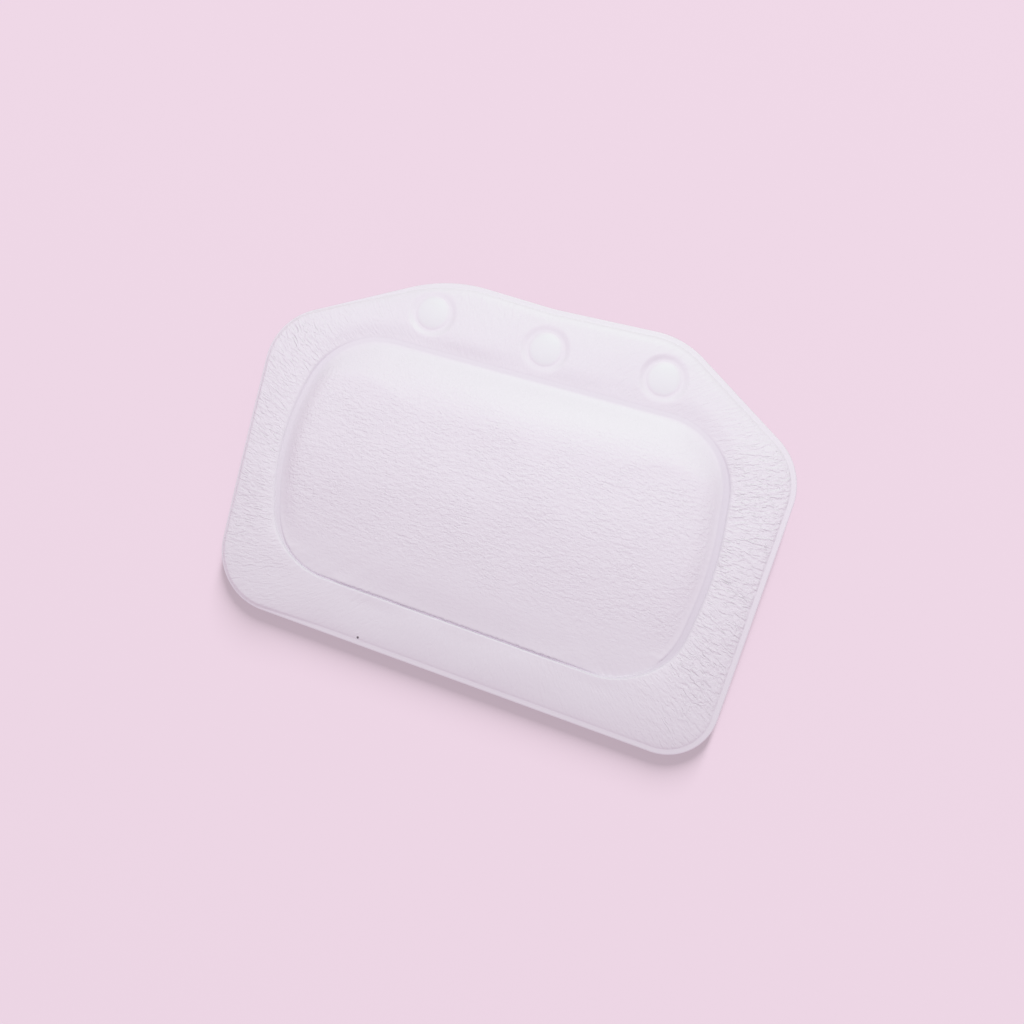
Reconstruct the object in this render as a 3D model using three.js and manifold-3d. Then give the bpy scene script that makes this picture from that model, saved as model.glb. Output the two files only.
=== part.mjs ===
// A bath pillow: two welded sheets of soft vinyl round a crowned foam cushion and a padded margin,
// with a flap along the top that carries three suction cups. Millimetres, +Z up, lying on its back
// with the flap towards +Y, as it is put down on a shelf.
import * as THREE from "three";
import { mergeVertices } from "three/addons/utils/BufferGeometryUtils.js";
import Module from "manifold-3d";

const wasm = await Module();
wasm.setup();

// Outline of the pillow seen from the front, measured up from its bottom edge
const bottomHalfWidth = 160;
const shoulderHalfWidth = 165;
const shoulderHeight = 178;
const crestHalfWidth = 75;
const flapHeight = 53;
const crestDip = 5;
const bottomCornerRadius = 36;
const shoulderRadius = 33;
const crestRadius = 60;
const dipRadius = 130;

// Weld line round the cushion
const bottomMargin = 33;
const cushionHeight = 153;
const cushionBottomHalfWidth = 125;
const cushionTopHalfWidth = 123;
const cushionSideBulge = 12;
const cushionCornerRadius = 45;
const cushionSideRadius = 150;
const channelHalfWidth = 2.5;

// Heights and thicknesses
const weldHeight = 15;
const bottomSag = 8;
const sheetGap = 0.3;
const frontSheet = 1;
const backSheet = 1;
const crownHeight = 13;
const crownRidgeDrop = 81;
const crownBottomRise = 4.5;
const marginRise = 3.4;
const foamGap = 0.3;

// Welded edge
const edgeWidth = 4.5;
const edgeBeadRise = 0.6;

// Suction cups and the welded pockets that hold their heads
const cupSpacing = 73;
const cupRowRise = 22.5;
const middleCupDrop = 2.5;
const cupRadius = 19;
const lipWidth = 2;
const lipThickness = 0.7;
const cupHeight = 9.6;
const cupHollow = 6.8;
const collarRadius = 6;
const neckRadius = 3.8;
const headRadius = 6.5;
const headHeight = 2.4;
const pocketRadius = 10;
const pocketWeldWidth = 3;
const pitSlope = 3;
const headClearance = 0.4;

// Reinforcing rings that the necks pass through
const ringRadius = 8.2;
const ringThickness = 1.05;
const runningClearance = 0.4;

// Living hinge between the pillow and its flap
const foldGap = 0.15;
const foldForwardDegrees = 45;
const foldBackDegrees = 50;
const foldReliefDepth = 8;
const foamSetback = 6;

// Drain hole in the bottom margin
const drainRadius = 0.8;
const drainAcross = 58;
const drainInset = 6.5;

const overrun = 5;
const arcSteps = 5;
const closestSpokesDegrees = 4.2;
const widestSpokesDegrees = 9.5;
const cupTurnSteps = 26;
const pocketTurnSteps = 22;
const touchShare = 1e-9;

// Cross-section shares, from the middle of a surface outwards
const crownQuarterShares = [0.28, 0.5, 0.7, 0.87, 1];
const crownTopFullness = 3.2;
const crownSideFullness = 7;
const crownBottomFullness = 6;
const bellyFlatShare = 0.45;
const bellySpreadPower = 1.8;
const bellyFallPower = 0.75;
const bellyShares = [0.35, 0.65, 0.87, 1];
const marginShares = [0, 0.1, 0.35, 0.65, 0.9, 1];
const marginFullness = 3;
const domeShares = [0, 0.35, 0.7];
const edgeShares = [0.45, 1];
const edgeRiseShares = [1, 0.4];
const hollowShares = [0.35, 0.7];
const headEdgeShare = 0.33;
const headShoulderShare = 0.78;
const headCrownShare = 0.4;

// Derived places
const foldLine = bottomMargin + cushionHeight;
const crestHeight = foldLine + flapHeight;
const cushionMiddle = bottomMargin + cushionHeight / 2;
const frontUnderside = weldHeight + sheetGap / 2;
const backTopside = weldHeight - sheetGap / 2;
const frontLevel = frontUnderside + frontSheet;
const crownRidge = foldLine - crownRidgeDrop;
const backLevel = backTopside - backSheet;
const ringTop = backLevel - sheetGap;
const collarTop = ringTop - ringThickness - sheetGap;
const headTop = frontUnderside + headHeight;
const domeInside = headTop + headClearance;
const domeTop = domeInside + frontSheet;
const cupPlaces = {
  left: [-cupSpacing, foldLine + cupRowRise],
  middle: [0, foldLine + cupRowRise - middleCupDrop],
  right: [cupSpacing, foldLine + cupRowRise],
};

const quarter = (share) => (share * Math.PI) / 2;

// A closed loop of straight runs with rounded corners, each given as [x, y, radius], as a list of points
function roundedLoop(corners) {
  return corners.flatMap(([x, y, radius], i) => {
    const at = new THREE.Vector2(x, y);
    const before = new THREE.Vector2(...corners.at(i - 1)).sub(at);
    const after = new THREE.Vector2(...corners[(i + 1) % corners.length]).sub(at);
    const halfAngle = Math.acos(before.clone().normalize().dot(after.clone().normalize())) / 2;
    const room = Math.min(before.length(), after.length()) / 2;
    const setback = Math.min(radius / Math.tan(halfAngle), room);
    const start = at.clone().addScaledVector(before.normalize(), setback);
    const end = at.clone().addScaledVector(after.normalize(), setback);
    const curve = new THREE.QuadraticBezierCurve(start, at, end);
    const fitted = setback * Math.tan(halfAngle);
    const inward = before.add(after).normalize();
    const centre = at.clone().addScaledVector(inward, fitted / Math.sin(halfAngle));
    // Each point of the curve is drawn out to the arc's own radius.
    return curve.getPoints(arcSteps).map((p) => p.sub(centre).setLength(fitted).add(centre));
  });
}

// A loop's right side, from the bottom up, followed by its mirror image
function bothSides(rightSide) {
  const leftSide = rightSide.filter(([x]) => x > 0).map(([x, y, radius]) => [-x, y, radius]);
  return [...rightSide, ...leftSide.reverse()];
}

const outline = roundedLoop(
  bothSides([
    [bottomHalfWidth, 0, bottomCornerRadius],
    [shoulderHalfWidth, shoulderHeight, shoulderRadius],
    [crestHalfWidth, crestHeight, crestRadius],
    [0, crestHeight - crestDip, dipRadius],
  ]),
);

const cushionWaist = (cushionBottomHalfWidth + cushionTopHalfWidth) / 2 + cushionSideBulge;
const cushionLoop = roundedLoop(
  bothSides([
    [cushionBottomHalfWidth, bottomMargin, cushionCornerRadius],
    [cushionWaist, cushionMiddle, cushionSideRadius],
    [cushionTopHalfWidth, foldLine, cushionCornerRadius],
  ]),
);

// Where a ray from the cushion's middle meets a loop: its distance, and how squarely it meets it
function reach(loop, direction) {
  for (let i = 0; i < loop.length; i++) {
    const a = loop[i];
    const run = loop[(i + 1) % loop.length].clone().sub(a);
    const turn = direction.cross(run);
    if (turn === 0) continue;
    const from = a.clone().sub(new THREE.Vector2(0, cushionMiddle));
    const distance = from.cross(run) / turn;
    const along = from.cross(direction) / turn;
    if (distance > 0 && along > -touchShare && along < 1 + touchShare) {
      return { distance, square: Math.abs(turn) / run.length() };
    }
  }
  throw new Error("the outline doesn't go round the cushion's middle");
}

// Directions for the right half, from straight down to straight up: through the points of both
// loops, less those that lie close together, with the wide gaps divided evenly
function rightHandTurns() {
  const closest = THREE.MathUtils.degToRad(closestSpokesDegrees);
  const widest = THREE.MathUtils.degToRad(widestSpokesDegrees);
  const turns = [...outline, ...cushionLoop]
    .map((p) => Math.atan2(p.y - cushionMiddle, p.x))
    .filter((turn) => Math.abs(turn) < quarter(1) - closest)
    .sort((a, b) => a - b);
  const kept = [-quarter(1)];
  for (const turn of [...turns, quarter(1)]) {
    const gap = turn - kept.at(-1);
    if (gap < closest) continue;
    const parts = Math.ceil(gap / widest);
    for (let i = 1; i < parts; i++) kept.push(turn - gap + (gap * i) / parts);
    kept.push(turn);
  }
  return kept;
}

// The spokes that every sheet and foam piece is laid out on
const rightTurns = rightHandTurns();
const leftTurns = rightTurns.slice(1, -1).map((turn) => Math.PI - turn).reverse();
const spokes = [...rightTurns, ...leftTurns].map((turn) => {
  const direction = new THREE.Vector2(Math.cos(turn), Math.sin(turn));
  const weld = reach(cushionLoop, direction);
  const rim = reach(outline, direction);
  const halfChannel = channelHalfWidth / weld.square;
  const endFullness = direction.y > 0 ? crownTopFullness : crownBottomFullness;
  return {
    direction,
    fullness: THREE.MathUtils.lerp(crownSideFullness, endFullness, direction.y ** 2),
    foot: weld.distance - halfChannel,
    marginStart: weld.distance + halfChannel,
    marginEnd: rim.distance - edgeWidth / rim.square,
    rim: rim.distance,
  };
});
const spokeCount = spokes.length;

// Stations across a surface: each gives a distance along a spoke, and a height for a point's y
const middleOut = (share) => (spoke) => share * spoke.foot;
const acrossMargin = (share) => (spoke) => THREE.MathUtils.lerp(spoke.marginStart, spoke.marginEnd, share);
const acrossEdge = (share) => (spoke) => THREE.MathUtils.lerp(spoke.marginEnd, spoke.rim, share);

// The crown is level above its ridge and slopes down from there to the cushion's bottom edge.
function crownLevel(y, share) {
  const slope = (crownHeight - crownBottomRise) / (crownRidge - bottomMargin);
  return frontLevel + (crownHeight - slope * Math.max(crownRidge - y, 0)) * share;
}

const crownStations = crownQuarterShares.map((share) => ({
  at: (spoke) => spoke.foot * Math.sin(quarter(share)) ** (2 / spoke.fullness),
  height: (y) => crownLevel(y, Math.cos(quarter(share))),
}));
const crownMiddle = crownLevel(cushionMiddle, 1);
const marginStations = marginShares.map((share) => ({
  at: acrossMargin(share),
  height: () => frontLevel + marginRise * Math.sqrt(1 - Math.abs(2 * share - 1) ** marginFullness),
}));
const edgeStations = edgeShares.map((share, i) => ({
  at: acrossEdge(share),
  height: () => frontLevel + edgeBeadRise * edgeRiseShares[i],
}));
const paddedStations = [...crownStations, ...marginStations];
const beyondEdge = acrossEdge(1 + overrun / edgeWidth);

// The belly stands on a flat and rises softly to the weld.
const bellyHeight = (share) => backLevel * (1 - (1 - share ** bellySpreadPower) ** bellyFallPower);
const bellyStations = [0, ...bellyShares].map((share) => ({
  at: middleOut(THREE.MathUtils.lerp(bellyFlatShare, 1, share)),
  height: () => bellyHeight(share),
}));
const backEdgeStations = [
  { at: acrossMargin(0), height: () => backLevel },
  { at: acrossMargin(1), height: () => backLevel },
  { at: acrossEdge(1), height: () => backLevel },
];
const backStations = [...bellyStations, ...backEdgeStations];

// The pillow sags from its fold towards its bottom edge. The belly's flat, which it lies on, doesn't.
function settled(x, y, height) {
  const down = bottomSag * (Math.max(foldLine - y, 0) / foldLine) ** 2;
  return new THREE.Vector3(x, y, height - down * Math.min(height / backLevel, 1));
}

// Rings of points for a list of stations, with the middle point first
function surface(stations, middleHeight) {
  const middle = settled(0, cushionMiddle, middleHeight);
  const rings = stations.map(({ at, height }) =>
    spokes.map((spoke) => {
      const x = spoke.direction.x * at(spoke);
      const y = cushionMiddle + spoke.direction.y * at(spoke);
      return settled(x, y, height(y));
    }),
  );
  return { middle, rings };
}

// A flat surface at one height, out to a given station
function flat(at, height) {
  return surface([{ at, height: () => height }], height);
}

// The same surface moved along its own normals, upwards where the distance is positive
function offset({ middle, rings }, distance) {
  const moved = rings.map((ring, r) =>
    ring.map((p, s) => {
      const inner = r > 0 ? rings[r - 1][s] : middle;
      const outer = rings[Math.min(r + 1, rings.length - 1)][s];
      const outwards = outer.clone().sub(inner);
      const around = ring[(s + 1) % spokeCount].clone().sub(ring.at(s - 1));
      return p.clone().addScaledVector(outwards.cross(around).normalize(), distance);
    }),
  );
  const raised = middle.clone().add(new THREE.Vector3(0, 0, distance));
  return { middle: raised, rings: moved };
}

// A closed solid between an upper and a lower surface, which may have different numbers of rings
function solidBetween(upper, lower) {
  const points = [];
  const faces = [];
  const add = (p) => points.push(p) - 1;
  const lay = ({ middle, rings }, isUpper) => {
    const hub = add(middle);
    const rows = rings.map((ring) => ring.map(add));
    const face = (a, b, c) => faces.push(isUpper ? [a, b, c] : [a, c, b]);
    for (let s = 0; s < spokeCount; s++) {
      const next = (s + 1) % spokeCount;
      face(hub, rows[0][s], rows[0][next]);
      for (let r = 1; r < rows.length; r++) {
        face(rows[r - 1][s], rows[r][s], rows[r][next]);
        face(rows[r - 1][s], rows[r][next], rows[r - 1][next]);
      }
    }
    return rows.at(-1);
  };
  const top = lay(upper, true);
  const bottom = lay(lower, false);
  for (let s = 0; s < spokeCount; s++) {
    const next = (s + 1) % spokeCount;
    faces.push([top[s], bottom[s], bottom[next]], [top[s], bottom[next], top[next]]);
  }
  return toGeometry(points, faces);
}

// A closed ring whose cross-section is the loop of the given rings
function ringSolid(rings) {
  const points = rings.flat();
  const faces = [];
  for (let r = 0; r < rings.length; r++) {
    for (let s = 0; s < spokeCount; s++) {
      const [row, nextRow] = [r * spokeCount, ((r + 1) % rings.length) * spokeCount];
      const next = (s + 1) % spokeCount;
      faces.push([row + s, nextRow + s, nextRow + next], [row + s, nextRow + next, row + next]);
    }
  }
  return toGeometry(points, faces);
}

function toGeometry(points, faces) {
  const geometry = new THREE.BufferGeometry().setFromPoints(points);
  geometry.setIndex(faces.flat());
  return geometry;
}

function toSolid(geometry) {
  const bare = new THREE.BufferGeometry();
  bare.setAttribute("position", geometry.getAttribute("position"));
  bare.setIndex(geometry.getIndex());
  const merged = mergeVertices(bare);
  return new wasm.Manifold(
    new wasm.Mesh({
      numProp: 3,
      vertProperties: merged.attributes.position.array,
      triVerts: new Uint32Array(merged.index.array),
    }),
  );
}

function fromSolid(solid) {
  const mesh = solid.getMesh();
  const geometry = new THREE.BufferGeometry();
  geometry.setAttribute("position", new THREE.BufferAttribute(mesh.vertProperties, mesh.numProp));
  geometry.setIndex(new THREE.BufferAttribute(mesh.triVerts, 1));
  geometry.computeVertexNormals();
  return geometry;
}

// A turned solid standing on the origin. Its profile runs up the outside from the axis and back.
function turned(profile, steps) {
  const points = profile.map(([radius, height]) => new THREE.Vector2(radius, height));
  return new THREE.LatheGeometry(points, steps).rotateX(Math.PI / 2);
}

function turnedSolid(profile, [x, y]) {
  return toSolid(turned(profile, pocketTurnSteps).translate(x, y, 0));
}

// A round bar along Z, as a cutter
function bar(radius, low, high, place) {
  return turnedSolid([[0, low], [radius, low], [radius, high], [0, high]], place);
}

// The two sides of the fold, as cutters that lean back from the hinge line to leave room to fold
function foldSide(side, setback) {
  const far = crestHeight * 2;
  const tall = crownHeight * 2;
  const lean = (degrees) => foldReliefDepth * Math.tan(THREE.MathUtils.degToRad(degrees / 2));
  const front = setback + lean(foldForwardDegrees);
  const back = setback + lean(foldBackDegrees);
  const profile = new THREE.Shape(
    [
      [far, -tall],
      [far, tall],
      [front, tall],
      [front, foldReliefDepth],
      [setback, 0],
      [back, -foldReliefDepth],
      [back, -tall],
    ].map(([across, up]) => new THREE.Vector2(side * across, up)),
  );
  const width = shoulderHalfWidth * 4;
  const geometry = new THREE.ExtrudeGeometry(profile, { depth: width, bevelEnabled: false });
  geometry.applyMatrix4(
    new THREE.Matrix4().makeBasis(
      new THREE.Vector3(0, 1, 0),
      new THREE.Vector3(0, 0, 1),
      new THREE.Vector3(1, 0, 0),
    ),
  );
  return toSolid(geometry.translate(-width / 2, foldLine, weldHeight));
}

const padSide = foldSide(-1, foldGap);
const flapSide = foldSide(1, foldGap);

// The front sheet: its outer face less the space inside it, with a pit and a dome at each cup's head
function frontSheetSolid() {
  const outer = surface([...paddedStations, ...edgeStations], crownMiddle);
  const inner = offset(surface(paddedStations, crownMiddle), -frontSheet);
  inner.rings.push(...flat(beyondEdge, frontUnderside).rings);
  let outside = toSolid(solidBetween(outer, flat(acrossEdge(1), frontUnderside - overrun)));
  let inside = toSolid(solidBetween(inner, flat(beyondEdge, -overrun)));
  for (const place of Object.values(cupPlaces)) {
    outside = outside.subtract(pit(0, frontLevel, place)).add(dome(0, frontUnderside, place));
    inside = inside.subtract(pit(frontSheet / 2, frontUnderside, place)).add(dome(frontSheet, 0, place));
  }
  return outside.subtract(inside);
}

// The space above a pocket: a flat ring to weld on, and a slope up past the margin's top
function pit(growth, bottom, place) {
  const weldEnd = pocketRadius + pocketWeldWidth + growth;
  const slopeEnd = weldEnd + pitSlope;
  const slopeTop = bottom + marginRise;
  const top = slopeTop + overrun;
  const profile = [[0, bottom], [weldEnd, bottom], [slopeEnd, slopeTop], [slopeEnd, top], [0, top]];
  return turnedSolid(profile, place);
}

// A pocket's dome over a head, or the space inside it, standing on a round foot
function dome(shrink, foot, place) {
  const radius = pocketRadius - shrink;
  const rise = domeTop - frontLevel;
  const arc = domeShares.map((share) => [
    radius * Math.cos(quarter(share)),
    frontLevel - shrink + rise * Math.sin(quarter(share)),
  ]);
  return turnedSolid([[0, foot], [radius, foot], ...arc, [0, domeTop - shrink]], place);
}

// The back sheet, with a hole for each suction cup's neck
function backSheetSolid() {
  const outer = surface(backStations, 0);
  const inner = offset(outer, backSheet);
  inner.rings.splice(-1, 1, ...flat(acrossEdge(1), backTopside).rings);
  let sheet = toSolid(solidBetween(inner, outer));
  for (const place of Object.values(cupPlaces)) {
    const hole = bar(neckRadius + runningClearance, backLevel - overrun, backTopside + overrun, place);
    sheet = sheet.subtract(hole);
  }
  return sheet;
}

// The foam cushion fills the space between the sheets inside the weld.
function cushionCore() {
  const upper = offset(surface(paddedStations, crownMiddle), -(frontSheet + foamGap));
  const lower = offset(surface(backStations, 0), backSheet + foamGap);
  upper.rings = upper.rings.slice(0, crownStations.length - 1);
  lower.rings = lower.rings.slice(0, bellyStations.length - 1);
  return solidBetween(upper, lower);
}

// The margin's padding is a flat-backed foam ring, cut into a frame and a flap piece at the fold.
function marginFoam() {
  const above = offset(surface(paddedStations, crownMiddle), -(frontSheet + foamGap));
  const [first, last] = [crownStations.length + 1, crownStations.length + marginStations.length - 1];
  const upper = above.rings.slice(first, last);
  const under = (ring) => ring.map((p) => settled(p.x, p.y, backTopside + foamGap));
  return toSolid(ringSolid([under(upper[0]), ...upper, under(upper.at(-1))]));
}

function flapFoam(foam) {
  let piece = foam.intersect(foldSide(1, foamSetback));
  for (const place of Object.values(cupPlaces)) {
    piece = piece.subtract(pit(frontSheet + foamGap, backTopside, place));
  }
  return piece;
}

// A suction cup with its collar, neck and mushroom head, moulded in one
function suctionCup() {
  const lipInside = cupRadius - lipWidth;
  const hollow = hollowShares.map((share) => [
    lipInside * Math.cos(quarter(share)),
    cupHollow * Math.sin(quarter(share)),
  ]);
  const wall = hollowShares.map((share) => [
    THREE.MathUtils.lerp(collarRadius, cupRadius, Math.cos(quarter(share))),
    THREE.MathUtils.lerp(lipThickness, cupHeight, Math.sin(quarter(share))),
  ]);
  const headAt = (share) => THREE.MathUtils.lerp(frontUnderside, headTop, share);
  const profile = [
    [0, cupHollow],
    ...hollow.reverse(),
    [lipInside, 0],
    [cupRadius, 0],
    [cupRadius, lipThickness],
    ...wall,
    [collarRadius, cupHeight],
    [collarRadius, collarTop],
    [neckRadius, collarTop],
    [neckRadius, headAt(0)],
    [headRadius, headAt(0)],
    [headRadius, headAt(headEdgeShare)],
    [headRadius * headShoulderShare, headAt(headShoulderShare)],
    [headRadius * headCrownShare, headAt(1)],
    [0, headAt(1)],
  ];
  return turned(profile, cupTurnSteps);
}

function reinforcingRing() {
  const bore = neckRadius + runningClearance;
  const bottom = ringTop - ringThickness;
  const profile = [
    [bore, bottom],
    [ringRadius, bottom],
    [ringRadius, ringTop],
    [bore, ringTop],
    [bore, bottom],
  ];
  return turned(profile, cupTurnSteps);
}

const vinyl = new THREE.MeshStandardMaterial({ color: 0xf1ecf3, roughness: 0.62, metalness: 0 });
const backVinyl = new THREE.MeshStandardMaterial({ color: 0xebe6ee, roughness: 0.55, metalness: 0 });
const foam = new THREE.MeshStandardMaterial({ color: 0xf4efe2, roughness: 0.95, metalness: 0 });
const clearVinyl = new THREE.MeshStandardMaterial({
  color: 0xe4e9ee,
  roughness: 0.15,
  metalness: 0,
  transparent: true,
  opacity: 0.6,
});
const ringVinyl = new THREE.MeshStandardMaterial({ color: 0xf2f0f4, roughness: 0.35, metalness: 0 });

const pillow = new THREE.Group();

function addPiece(name, geometry, material, place = [0, 0]) {
  const mesh = new THREE.Mesh(geometry, material);
  mesh.name = name;
  mesh.position.set(place[0], place[1], 0);
  pillow.add(mesh);
}

const front = frontSheetSolid();
const back = backSheetSolid();
const marginRing = marginFoam();
const drainPlace = [-drainAcross, drainInset];
const drain = bar(drainRadius, -overrun, frontLevel + marginRise + overrun, drainPlace);
addPiece("front_cover", fromSolid(front.intersect(padSide).subtract(drain)), vinyl);
addPiece("front_cover_flap", fromSolid(front.intersect(flapSide)), vinyl);
addPiece("back_cover", fromSolid(back.intersect(padSide)), backVinyl);
addPiece("back_cover_flap", fromSolid(back.intersect(flapSide)), backVinyl);
addPiece("cushion_core", cushionCore(), foam);
addPiece("margin_foam", fromSolid(marginRing.intersect(foldSide(-1, foamSetback))), foam);
addPiece("flap_foam", fromSolid(flapFoam(marginRing)), foam);
for (const [side, place] of Object.entries(cupPlaces)) {
  addPiece(`suction_cup_${side}`, suctionCup(), clearVinyl, place);
  addPiece(`reinforcing_ring_${side}`, reinforcingRing(), ringVinyl, place);
}

// The origin is the middle of the pillow's box, on the surface that it lies on.
const box = new THREE.Box3().setFromObject(pillow, true);
const middle = box.getCenter(new THREE.Vector3());
pillow.position.set(-middle.x, -middle.y, -box.min.z);

export default pillow;
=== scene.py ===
"""The looks of a welded vinyl bath pillow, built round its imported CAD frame.

Lengths are in millimetres: across from the pillow's middle, up from its bottom edge, and high
above the plane that it rests on. They become metres only where a mesh, lamp or camera is made.
"""

import logging
import math
from dataclasses import dataclass, field
from enum import Enum
from typing import Any, Sequence

import bmesh
import bpy
import numpy as np
from mathutils import Matrix, Vector


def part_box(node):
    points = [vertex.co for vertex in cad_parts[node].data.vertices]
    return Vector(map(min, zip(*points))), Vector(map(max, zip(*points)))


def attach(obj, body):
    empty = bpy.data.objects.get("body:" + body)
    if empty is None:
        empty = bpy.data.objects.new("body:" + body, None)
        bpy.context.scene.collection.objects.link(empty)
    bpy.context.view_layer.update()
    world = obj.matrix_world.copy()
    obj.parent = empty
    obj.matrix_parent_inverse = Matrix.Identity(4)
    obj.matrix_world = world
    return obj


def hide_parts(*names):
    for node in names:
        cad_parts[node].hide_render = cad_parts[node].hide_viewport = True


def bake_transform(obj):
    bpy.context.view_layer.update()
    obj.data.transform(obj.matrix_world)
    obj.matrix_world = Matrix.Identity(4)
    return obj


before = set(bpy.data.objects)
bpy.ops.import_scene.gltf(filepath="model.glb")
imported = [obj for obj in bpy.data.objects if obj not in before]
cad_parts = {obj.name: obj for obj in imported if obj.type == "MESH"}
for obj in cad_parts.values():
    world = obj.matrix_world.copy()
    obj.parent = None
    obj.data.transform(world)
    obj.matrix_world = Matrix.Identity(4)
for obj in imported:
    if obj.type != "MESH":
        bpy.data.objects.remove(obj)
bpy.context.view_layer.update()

LOG = logging.getLogger("bath_pillow")
MM = 0.001
# The bottom edge of the outline in the row frame, whose origin is under the middle of the pillow
BOTTOM_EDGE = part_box("front_cover")[0].y / MM
Array = np.ndarray


# Shares and curves


def smooth(low: float, high: float, value: Array) -> Array:
    """A share that eases from 0 at low to 1 at high: 3t^2 - 2t^3."""
    t = np.clip((value - low) / (high - low), 0, 1)
    return t * t * (3 - 2 * t)


def shoulder(distance: Array, radius: Array | float, fullness: float = 2.0) -> Array:
    """The share of full height at a distance inside a seam.

    The curve is a quarter of a superellipse: (1 - (1 - t)^p)^(1/p), upright at the seam and
    level at the radius, where t is distance / radius and p is the fullness.

    Args:
        distance: how far each point lies inside the seam.
        radius: how far in the full height is reached.
        fullness: 2 for an ellipse, more for a squarer shoulder.

    Returns:
        Shares from 0 to 1.
    """
    t = np.clip(distance / radius, 0, 1)
    return (1 - (1 - t) ** fullness) ** (1 / fullness)


def ease_rows(start: float, end: float, count: int, power: float) -> Array:
    """Row places from start to end, closest together at the end: start + (end-start)(1-(1-t)^p)."""
    t = np.linspace(0, 1, count)
    return start + (end - start) * (1 - (1 - t) ** power)


# Outlines


@dataclass(frozen=True)
class Corner:
    """A corner of a loop: where its two straight runs would meet, and the radius that rounds it."""

    across: float
    up: float
    radius: float


class RoundedLoop:
    """A closed loop of straight runs and round corners, walked anticlockwise."""

    STEP = 0.5

    def __init__(self, corners: Sequence[Corner], middle: Array) -> None:
        """Lays out the arcs and runs of the loop.

        Args:
            corners: the corners, anticlockwise.
            middle: a point that sees the whole loop.
        """
        at = np.array([(c.across, c.up) for c in corners], float)
        before = np.roll(at, 1, axis=0) - at
        after = np.roll(at, -1, axis=0) - at
        room = np.minimum(np.linalg.norm(before, axis=1), np.linalg.norm(after, axis=1)) / 2
        before /= np.linalg.norm(before, axis=1)[:, None]
        after /= np.linalg.norm(after, axis=1)[:, None]
        half = np.arccos(np.sum(before * after, axis=1)) / 2
        setback = np.minimum([c.radius for c in corners] / np.tan(half), room)
        self.radii = setback * np.tan(half)
        self.starts = at + before * setback[:, None]
        self.ends = at + after * setback[:, None]
        bisector = before + after
        bisector /= np.linalg.norm(bisector, axis=1)[:, None]
        self.centres = at + bisector * (self.radii / np.sin(half))[:, None]
        self.outwards = -bisector
        self.half_turn_cosines = np.cos(math.pi / 2 - half)
        self.middle = middle
        pieces = []
        for i in range(len(corners)):
            pieces.append(self._arc_points(i))
            run = self.starts[(i + 1) % len(corners)] - self.ends[i]
            steps = max(int(np.linalg.norm(run) / self.STEP), 1)
            pieces.append(self.ends[i] + run * np.linspace(0, 1, steps, endpoint=False)[:, None])
        self.points = np.concatenate(pieces)
        tangent = np.roll(self.points, -1, axis=0) - self.points
        lengths = np.linalg.norm(tangent, axis=1)
        self.arcs = np.concatenate([[0], np.cumsum(lengths)[:-1]])
        self.length = float(lengths.sum())
        central = np.roll(self.points, -1, axis=0) - np.roll(self.points, 1, axis=0)
        central /= np.linalg.norm(central, axis=1)[:, None]
        self.normals = np.stack([central[:, 1], -central[:, 0]], axis=1)
        offset = self.points - middle
        self.angles = np.arctan2(offset[:, 1], offset[:, 0])
        self.reaches = np.linalg.norm(offset, axis=1)

    def _arc_points(self, i: int) -> Array:
        """Points along corner i's arc, without its last one."""
        a, b = self.starts[i] - self.centres[i], self.ends[i] - self.centres[i]
        start = math.atan2(a[1], a[0])
        turn = math.atan2(a[0] * b[1] - a[1] * b[0], float(a @ b))
        steps = max(int(abs(turn) * self.radii[i] / self.STEP), 2)
        angle = start + turn * np.linspace(0, 1, steps, endpoint=False)
        return self.centres[i] + self.radii[i] * np.stack([np.cos(angle), np.sin(angle)], axis=1)

    def at(self, arc: Array) -> tuple[Array, Array]:
        """Points and outward normals at the given distances along the loop."""
        def follow(values: Array) -> Array:
            return np.interp(arc, self.arcs, values, period=self.length)

        points = np.stack([follow(self.points[:, 0]), follow(self.points[:, 1])], axis=1)
        normals = np.stack([follow(self.normals[:, 0]), follow(self.normals[:, 1])], axis=1)
        return points, normals / np.linalg.norm(normals, axis=1)[:, None]

    def reach(self, angle: Array) -> Array:
        """How far the loop is from the middle in each direction."""
        return np.interp(angle, self.angles, self.reaches, period=math.tau)

    def arc_towards(self, angle: Array) -> Array:
        """The distance along the loop at which it is met in each direction."""
        phase = self.arcs / self.length * math.tau
        cosine = np.interp(angle, self.angles, np.cos(phase), period=math.tau)
        sine = np.interp(angle, self.angles, np.sin(phase), period=math.tau)
        return np.arctan2(sine, cosine) % math.tau / math.tau * self.length

    def normal_towards(self, angle: Array) -> Array:
        """The upward share of the loop's outward normal in each direction."""
        return np.interp(angle, self.angles, self.normals[:, 1], period=math.tau)

    def distance(self, points: Array) -> Array:
        """The shortest distance from each point to the loop, over its runs and its arcs."""
        nearest = np.full(len(points), np.inf)
        for i, centre in enumerate(self.centres):
            from_centre = points - centre
            far = np.linalg.norm(from_centre, axis=1)
            faces_arc = from_centre @ self.outwards[i] >= far * self.half_turn_cosines[i]
            nearest = np.where(faces_arc, np.minimum(nearest, abs(far - self.radii[i])), nearest)
            run = self.starts[(i + 1) % len(self.centres)] - self.ends[i]
            along = np.clip((points - self.ends[i]) @ run / max(run @ run, 1e-12), 0, 1)
            gap = np.linalg.norm(points - self.ends[i] - along[:, None] * run, axis=1)
            nearest = np.minimum(nearest, gap)
        return nearest


# Flat layouts and solids


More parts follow.
